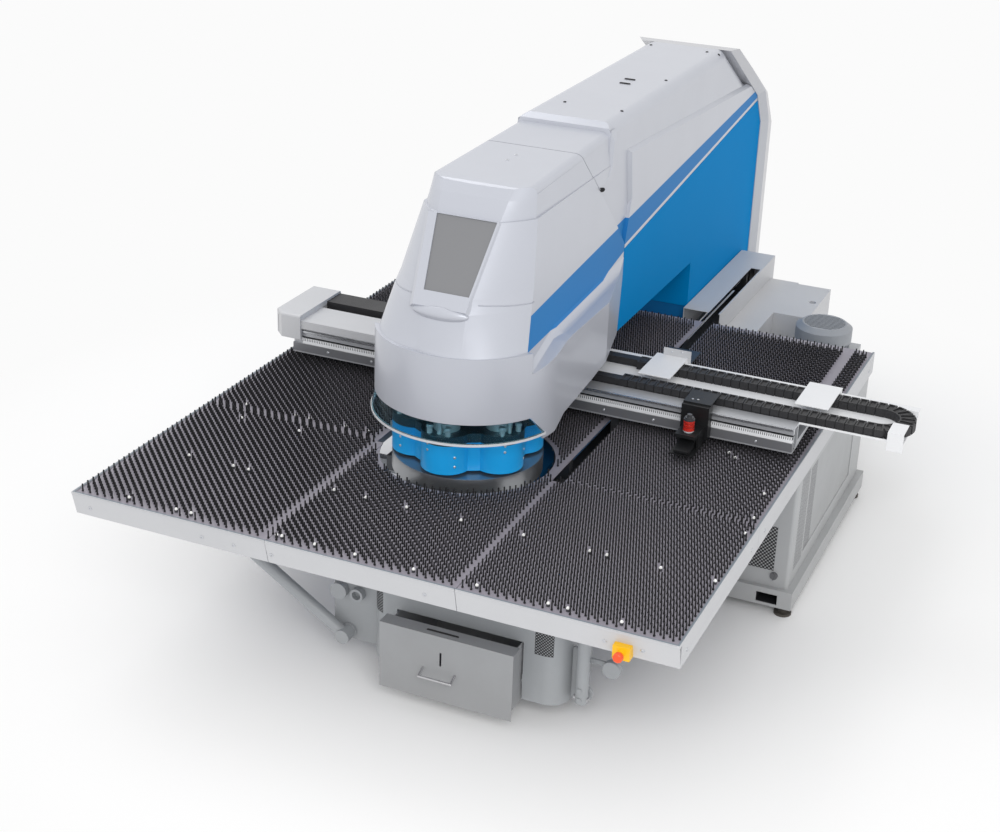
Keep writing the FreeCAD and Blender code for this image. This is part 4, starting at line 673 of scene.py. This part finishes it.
# ---- Y drive ----
# Two dark steel rails and a bright ground ball screw below the decks move the whole beam.
# Brackets of the same dark steel ride on them and reach up through the slots.
rail_steel = paint("rail_steel", tone(196, 198, 202), rough=0.22, metal=1.0, relief=0.02, smear=0.25,
                   dust=0.05)
dark_steel = paint("dark_steel", tone(84, 86, 90), rough=0.38, metal=0.75, relief=0.08, smear=0.4, dust=0.15)
finish(dark_steel, "y_rails", "slide_brackets")
finish(rail_steel, "y_screw")

# ---- Cross beam ----
# An extruded beam with a toothed rack and a bright rail on its front.
# A folded lid covers it on the left, and a row of button-head screws runs along its front.
beam_metal = paint("beam_metal", tone(196, 198, 202), rough=0.36, metal=0.55, relief=0.03, smear=0.35,
                   dust=0.05)
finish(beam_metal, "x_beam")
sheet = beam_metal.node_tree
x, y, z = axes(beam_metal)
beam_front = within(sheet, y, -0.67, -0.6)
lay_over(beam_metal, all_of(sheet, within(sheet, z, 0.968, 1.012), beam_front), tone(138, 139, 143))
lay_over(beam_metal, all_of(sheet, within(sheet, z, 1.049, 1.058), beam_front), tone(40, 41, 44))
rack_steel = paint("rack_steel", tone(196, 198, 202), rough=0.25, metal=0.9, relief=0.02, smear=0.25,
                   dust=0.05)
finish(rack_steel, "x_rails")
sheet = rack_steel.node_tree
x, y, z = axes(rack_steel)
on_rack = within(sheet, z, 1.016, 1.048)
lay_over(rack_steel, on_rack, tone(236, 237, 239))
dull(rack_steel, on_rack)
tooth_pitch = 0.0105
tooth_gap = within(sheet, repeats(sheet, x, tooth_pitch), 0.34, 0.70, 0.06)
lay_over(rack_steel, all_of(sheet, within(sheet, z, 1.032, 1.046), tooth_gap), tone(70, 72, 76))
screw_spacing = 0.263
beam_seats = [seat("x_beam", (0.204 + screw_spacing * k, -2.0, 0.989), (0, 1, 0)) for k in range(-6, 4)]
fit("beam_screws", button_screw(0.007), beam_seats, screw_steel, "y_slide")

# ---- Energy chain and tray ----
# A white folded tray carries the chain behind the beam, with two plates that bridge it.
# Folded end pieces and black ducts take the chain's ends and its cables.
tray_paint = paint("tray_paint", tone(232, 233, 235), rough=0.38, relief=0.06, grain=420.0, smear=0.15,
                   dust=0.1)
finish(tray_paint, "chain_tray", "bridge_plates")


def folded_plate(name, x0, x1, bends, gauge, material, body):
    """Sheet folded along X: a flat between the first two bend lines, drawn on over the others."""
    clear_selection()
    (y0, z0), (y1, _) = bends[:2]
    bpy.ops.mesh.primitive_plane_add(size=1, location=((x0 + x1) / 2, (y0 + y1) / 2, z0))
    plate = bpy.context.object
    plate.name = name
    bpy.ops.object.mode_set(mode="EDIT")
    bpy.ops.transform.resize(value=(x1 - x0, abs(y1 - y0), 1), center_override=plate.location)
    bpy.ops.object.mode_set(mode="OBJECT")
    bpy.ops.object.transform_apply(location=True, rotation=True, scale=True)
    for (y_from, z_from), (y_to, z_to) in zip(bends[1:], bends[2:]):
        pick(plate, "EDGE", lambda edge: all(
            abs(end.co.y - y_from) < 1e-5 and abs(end.co.z - z_from) < 1e-5 for end in edge.verts))
        bpy.ops.mesh.extrude_region_move(TRANSFORM_OT_translate={"value": (0, y_to - y_from, z_to - z_from)})
        bpy.ops.object.mode_set(mode="OBJECT")
    wall = plate.modifiers.new("wall", "SOLIDIFY")
    wall.thickness = gauge
    wall.offset = 0.0
    fold = plate.modifiers.new("fold", "BEVEL")
    fold.width = gauge * 0.4
    fold.segments = 2
    apply_all(plate)
    return set_down(plate, material, body)


# A folded bracket holds the chain's outer end, and an upright plate behind the tray takes its fixed end.
folded_plate("chain_end_bracket", 1.602, 1.68, [(-0.4385, 1.1345), (-0.5645, 1.1345), (-0.5645, 1.04)],
             0.0025, tray_paint, "y_slide")
folded_plate("chain_fixing_plate", 0.34, 0.49, [(-0.15, 1.088), (-0.156, 1.088), (-0.156, 1.18)],
             0.003, cover_paint, "y_slide")
# Black ducts carry the cables on in the tray, from the chain's ends to the left.
duct_width, duct_top, duct_foot = 0.053, 1.1265, 1.0885
for name, duct_y, duct_end in (("cable_duct_front", -0.5515, 0.25), ("cable_duct_rear", -0.2715, 0.315)):
    duct_bends = [(duct_y + duct_width, duct_top), (duct_y, duct_top), (duct_y, duct_foot)]
    folded_plate(name, -0.705, duct_end, duct_bends, 0.003, moulded_black, "y_slide")
plate_seats = [(Vector((plate_x, -0.1575, plate_z)), Vector((0, -1, 0)))
               for plate_x, plate_z in ((0.385, 1.16), (0.44, 1.165))]
fit("fixing_plate_screws", button_screw(0.006), plate_seats, screw_steel, "y_slide")

# ---- Clamps ----
# Blackened steel bodies with a red air cylinder each, which press a jaw on the sheet's edge.
# Two small button-head screws sit in the top of each body.
black_steel = paint("black_steel", tone(30, 31, 33), rough=0.36, metal=0.3, relief=0.1, smear=0.3, dust=0.2)
finish(black_steel, "clamp_right", "clamp_left", "jaw_right", "jaw_left")
cylinder_red = paint("cylinder_red", tone(206, 42, 28), rough=0.3, coat=0.4, relief=0.03, smear=0.2, dust=0.1)
finish(cylinder_red, "cylinder_right", "cylinder_left")
barrel = cylinder_red.node_tree
z = axes(cylinder_red)[2]
rib_pitch = 0.0085
red_foot, red_top = 1.046, 1.099
rib_gap = within(barrel, repeats(barrel, z, rib_pitch), 0.0, 0.28, 0.05)
lay_over(cylinder_red, rib_gap, tone(120, 20, 14))
lay_over(cylinder_red, beyond(barrel, z, red_top), tone(60, 60, 63))
lay_over(cylinder_red, maths(barrel, "SUBTRACT", 1.0, beyond(barrel, z, red_foot)), tone(205, 206, 210))
for clamp, clamp_x in (("clamp_right", 0.695), ("clamp_left", -0.075)):
    clamp_seats = [seat(clamp, (clamp_x + aside, screw_y, 2.0), (0, 0, -1))
                   for aside, screw_y in ((-0.034, -0.6515), (-0.008, -0.6475))]
    fit(clamp + "_screws", button_screw(0.006), clamp_seats, screw_steel, clamp)

# ---- Turrets, tools and ram ----
# The upper turret is cast with six lobes and painted blue, and shiny tool heads stand on it.
# The lower turret is a ground disc.
turret_paint = paint("turret_paint", tone(24, 168, 240), rough=0.36, coat=0.25, relief=0.03, smear=0.2,
                     dust=0.1)
finish(turret_paint, "upper_turret")
# Painted shade: the turret's top, inside the closed hood, is painted dark teal for the shade in there.
casting_top = 1.105
turret_top_shade = beyond(turret_paint.node_tree, axes(turret_paint)[2], casting_top)
lay_over(turret_paint, turret_top_shade, tone(30, 60, 72))
lobes = 6


def round_turret(radius, angle, height):
    """A point at a radius and an angle about the turrets' axis, and the way in from it."""
    turn = math.radians(angle)
    start = (turret_x + radius * math.cos(turn), turret_y + radius * math.sin(turn), height)
    return start, (-math.cos(turn), -math.sin(turn), 0)


outside, guide_circle = 0.6, 0.335
turret_seats = [seat("upper_turret", *round_turret(outside, angle + 60 * lobe, height))
                for lobe in range(lobes)
                for angle, heights in ((-75.8, (1.0, 1.047)), (-97.2, (1.072, 1.104)))
                for height in heights]
fit("turret_screws", button_screw(0.0065), turret_seats, screw_steel, "upper_turret")
tool_chrome = paint("tool_chrome", tone(232, 236, 240), rough=0.2, metal=0.55, relief=0.01, smear=0.2,
                    dust=0.0)
finish(tool_chrome, "punch_tools", "ram")
# Slim guide pins with bright caps stand on each lobe, on both sides of its tool.
clear_selection()
bpy.ops.mesh.primitive_cylinder_add(vertices=16, radius=0.0135, depth=0.050, location=(0, 0, 0.0245))
guide = bpy.context.object
pick_top(guide)
draw_out(0.004)
bpy.ops.transform.resize(value=(1.25, 1.25, 1.0))
draw_out(0.009)
bpy.ops.mesh.inset(thickness=0.004)
draw_out(0.003)
bpy.ops.object.mode_set(mode="OBJECT")
bpy.ops.object.shade_smooth_by_angle(angle=math.radians(35))
guide_seats = [seat("upper_turret", round_turret(guide_circle, 60 * lobe - 90 + aside, 1.3)[0], (0, 0, -1))
               for lobe in range(lobes) for aside in (-8, 8)]
fit("tool_guides", guide, guide_seats, tool_chrome, "upper_turret")
ground_steel = paint("ground_steel", tone(150, 152, 155), rough=0.3, metal=0.85, relief=0.03, smear=0.3,
                     dust=0.05)
finish(ground_steel, "lower_turret")
finish(dark_steel, "head_bearings")

# ---- Covers of the C-frame ----
# Moulded covers sprayed in silver with a clear coat: the front hood, the long rear cover and the flared trim.
# A blue band rises along both sides, with a thin bright line along the foot of the rear cover.
band_blue = tone(0, 116, 184)
for name, top_rise in (("front_hood", 0.0403), ("rear_cover", 0.0817)):
    silver = paint("silver_" + name, tone(188, 191, 200), rough=0.38, metal=0.22, coat=0.4, coat_rough=0.1,
                   relief=0.012, grain=600.0, smear=0.12, dust=0.0)
    finish(silver, name)
    sheet = silver.node_tree
    x, y, z = axes(silver)
    on_side = maths(sheet, "SUBTRACT", 1.0, within(sheet, x, -0.46, 0.03))
    below_top = beyond(sheet, slope(sheet, y, -0.0775, 1.789, top_rise), z)
    if name == "front_hood":
        band_foot = maths(sheet, "MAXIMUM", slope(sheet, y, -0.0555, 1.625, 0.12), 1.581)
        front_end = beyond(sheet, y, slope(sheet, z, 1.585, -1.4835, 0.42))
        blue_band = all_of(sheet, on_side, below_top, beyond(sheet, z, band_foot), front_end)
    else:
        band_foot = slope(sheet, y, -0.0555, 1.6614, 0.1125)
        blue_band = all_of(sheet, on_side, below_top, beyond(sheet, z, band_foot))
    lay_over(silver, blue_band, band_blue)
    dull(silver, blue_band)
trim_silver = paint("trim_silver", tone(192, 193, 197), rough=0.32, metal=0.3, coat=0.5, relief=0.02,
                    smear=0.12, dust=0.0)
finish(trim_silver, "rear_trim")
side_blue = paint("side_blue", tone(0, 130, 196), rough=0.6, relief=0.03, smear=0.06, dust=0.0, specular=0.03)
finish(side_blue, "side_panel_right", "side_panel_left", "throat_liner")
window_dark = paint("window_dark", tone(120, 121, 124), rough=0.08, coat=1.0, coat_rough=0.02, relief=0.0,
                    smear=0.1, dust=0.0)
finish(window_dark, "hood_window")

# ---- Roof screws, plugs, slots and cover latches ----
# Two button-head screws hold the hood's roof. Black plugs and two slots close the lifting holes of the rear
# cover, and a small oval latch on each side holds the hood to it.


def from_above(name, places):
    """Seats on the top of a node, straight below each X and Y."""
    return [seat(name, (*place, 3.0), (0, 0, -1)) for place in places]


hood_seats = from_above("front_hood", ((-0.245, -0.9465), (-0.239, -0.8565)))
fit("hood_screws", button_screw(0.0085), hood_seats, screw_steel)
plug_places = ((-0.033, 0.7055), (-0.015, -0.0345), (-0.333, -0.0145),
               (-0.398, 1.5015), (-0.054, 1.5005), (0.012, 1.5225))
plug_seats = from_above("rear_cover", plug_places)
fit("roof_plugs", button_screw(0.0085), plug_seats, moulded_black)
slot_seats = from_above("rear_cover", ((-0.202, 0.5215), (-0.210, 0.6225)))
fit("roof_slots", sunk_plate(0.062, 0.018, 0.009, 0.004, 0.003, 0.002), slot_seats, moulded_black)
latch_seats = [seat("rear_cover", (from_x, -0.46, 2.06), (way, 0, 0))
               for from_x, way in ((1.0, -1), (-1.5, 1))]
fit("cover_latches", sunk_plate(0.05, 0.026, 0.0129, 0.004, 0.004, 0.002), latch_seats, moulded_black)

# ---- Rear service door ----
# The back of the flared trim has a flush sheet door, sprayed in the same silver.
# A fine dark gap runs round it, and it has eight air slits and two locks.
sheet = trim_silver.node_tree
x, y, z = axes(trim_silver)
at_back = beyond(sheet, y, 2.5515, 0.0005)
door_left, door_right, door_foot, door_head = -0.465, 0.035, 0.920, 1.730
gap = 0.004
opening = all_of(sheet, within(sheet, x, door_left, door_right), within(sheet, z, door_foot, door_head))
door = all_of(sheet, within(sheet, x, door_left + gap, door_right - gap),
              within(sheet, z, door_foot + gap, door_head - gap))
lay_over(trim_silver, all_of(sheet, at_back, maths(sheet, "SUBTRACT", opening, door)), tone(70, 71, 75))
slit_pitch = 0.03
slits = all_of(sheet, at_back, within(sheet, repeats(sheet, z, slit_pitch), 0.32, 0.68, 0.03),
               within(sheet, z, 1.02, 1.26), within(sheet, x, -0.385, -0.045))
lay_over(trim_silver, slits, tone(30, 31, 34))
dull(trim_silver, slits)
lock_x, lock_radius = -0.425, 0.018
for lock_z in (1.10, 1.60):
    across, up = maths(sheet, "SUBTRACT", x, lock_x), maths(sheet, "SUBTRACT", z, lock_z)
    on_lock = within(sheet, distance(sheet, across, up), -1.0, lock_radius, 0.0008)
    lay_over(trim_silver, all_of(sheet, at_back, on_lock), tone(126, 127, 131))
    key_slot = all_of(sheet, at_back, within(sheet, across, -0.003, 0.003), within(sheet, up, -0.012, 0.012))
    lay_over(trim_silver, key_slot, tone(36, 36, 39))

# ---- Turret guard ----
# A clear curved screen round the front of the turret, bent from plastic sheet.
# A white rim stiffens its edge.
guard = bpy.data.materials.new("guard_clear")
guard.use_nodes = True
guard_shader = guard.node_tree.nodes["Principled BSDF"]
guard_shader.inputs["Base Color"].default_value = tone(190, 226, 236)
guard_shader.inputs["Roughness"].default_value = 0.03
guard_shader.inputs["Transmission Weight"].default_value = 1.0
guard_shader.inputs["IOR"].default_value = 1.1
finish(guard, "visor_glass")
rim_white = paint("rim_white", tone(214, 216, 220), rough=0.3, coat=0.3, relief=0.02, smear=0.1, dust=0.0)
finish(rim_white, "visor_rim")

# ---- Emergency stop ----
# A yellow moulded box on the front rim.
# Its red mushroom head is pushed in to stop the press.
stop_yellow = paint("stop_yellow", tone(248, 192, 16), rough=0.38, relief=0.1, grain=900.0, smear=0.15,
                    dust=0.1)
finish(stop_yellow, "stop_box")
stop_red = paint("stop_red", tone(240, 82, 28), rough=0.3, coat=0.2, relief=0.02, smear=0.1, dust=0.05)
finish(stop_red, "stop_button")

# ---- Studio ----
# A pale seamless floor, two large soft lamps and the camera.
# The floor fades into a white surround with the distance from the press, so that no edge of it shows.
clear_selection()
bpy.ops.mesh.primitive_plane_add(size=60.0, location=(0, 0, 0))
floor = bpy.context.object
floor.name = "studio_floor"
floor_material = bpy.data.materials.new("studio_floor")
floor_material.use_nodes = True
ground = floor_material.node_tree
floor_shader = ground.nodes["Principled BSDF"]
floor_shader.inputs["Base Color"].default_value = (0.96, 0.96, 0.96, 1)
floor_shader.inputs["Roughness"].default_value = 0.9
floor_shader.inputs["Specular IOR Level"].default_value = 0.0
x, y, z = axes(floor_material)
surround = 0.965
far_white = ground.nodes.new("ShaderNodeEmission")
far_white.inputs["Color"].default_value = (surround, surround, surround, 1)
fade = ground.nodes.new("ShaderNodeMixShader")
fade_start, fade_end = 1.8, 4.2
ground.links.new(band(ground, distance(ground, x, y), fade_start, fade_end), fade.inputs["Fac"])
ground.links.new(floor_shader.outputs["BSDF"], fade.inputs[1])
ground.links.new(far_white.outputs["Emission"], fade.inputs[2])
ground.links.new(fade.outputs["Shader"], ground.nodes["Material Output"].inputs["Surface"])
floor.data.materials.append(floor_material)

world = bpy.data.worlds.new("studio")
bpy.context.scene.world = world
world.use_nodes = True
air = world.node_tree
backdrop = air.nodes["Background"]
backdrop.inputs["Color"].default_value = (1, 1, 1, 1)
rays = air.nodes.new("ShaderNodeLightPath")
seen = maths(air, "MAXIMUM", rays.outputs["Is Camera Ray"], rays.outputs["Is Glossy Ray"])
seen = maths(air, "MAXIMUM", seen, rays.outputs["Is Transmission Ray"])
air.links.new(band(air, seen, 0.0, 1.0, 0.82, surround), backdrop.inputs["Strength"])


def soft_lamp(name, place, aim, size, power):
    """A large square-cornered lamp that looks at its aim."""
    light = bpy.data.lights.new(name, "AREA")
    light.shape = "RECTANGLE"
    light.size, light.size_y = size
    light.energy = power
    lamp = bpy.data.objects.new(name, light)
    bpy.context.scene.collection.objects.link(lamp)
    lamp.location = place
    lamp.rotation_euler = (Vector(aim) - Vector(place)).to_track_quat("-Z", "Y").to_euler()


soft_lamp("key", (-5.0, 1.5, 8.0), (0, 0, 0.8), (5.0, 5.0), 170)
soft_lamp("front", (3.4, -7.8, 5.5), (0, -1.0, 0.8), (5.0, 3.5), 270)

camera_data = bpy.data.cameras.new("camera")
camera_data.lens = 61.616
camera_data.sensor_width = 36.0
camera = bpy.data.objects.new("camera", camera_data)
bpy.context.scene.collection.objects.link(camera)
yaw, pitch, roll = 0.402134, 0.425691, 0.0361366
forward = Vector((-math.sin(yaw) * math.cos(pitch), math.cos(yaw) * math.cos(pitch), -math.sin(pitch)))
level_right = Vector((math.cos(yaw), math.sin(yaw), 0))
level_up = level_right.cross(forward)
right = math.cos(roll) * level_right + math.sin(roll) * level_up
up = -math.sin(roll) * level_right + math.cos(roll) * level_up
stand_point = Matrix.Translation((2.79828, -8.07629, 4.49304))
camera.matrix_world = stand_point @ Matrix((right, up, -forward)).transposed().to_4x4()
bpy.context.scene.camera = camera
bpy.context.scene.view_settings.view_transform = "Standard"
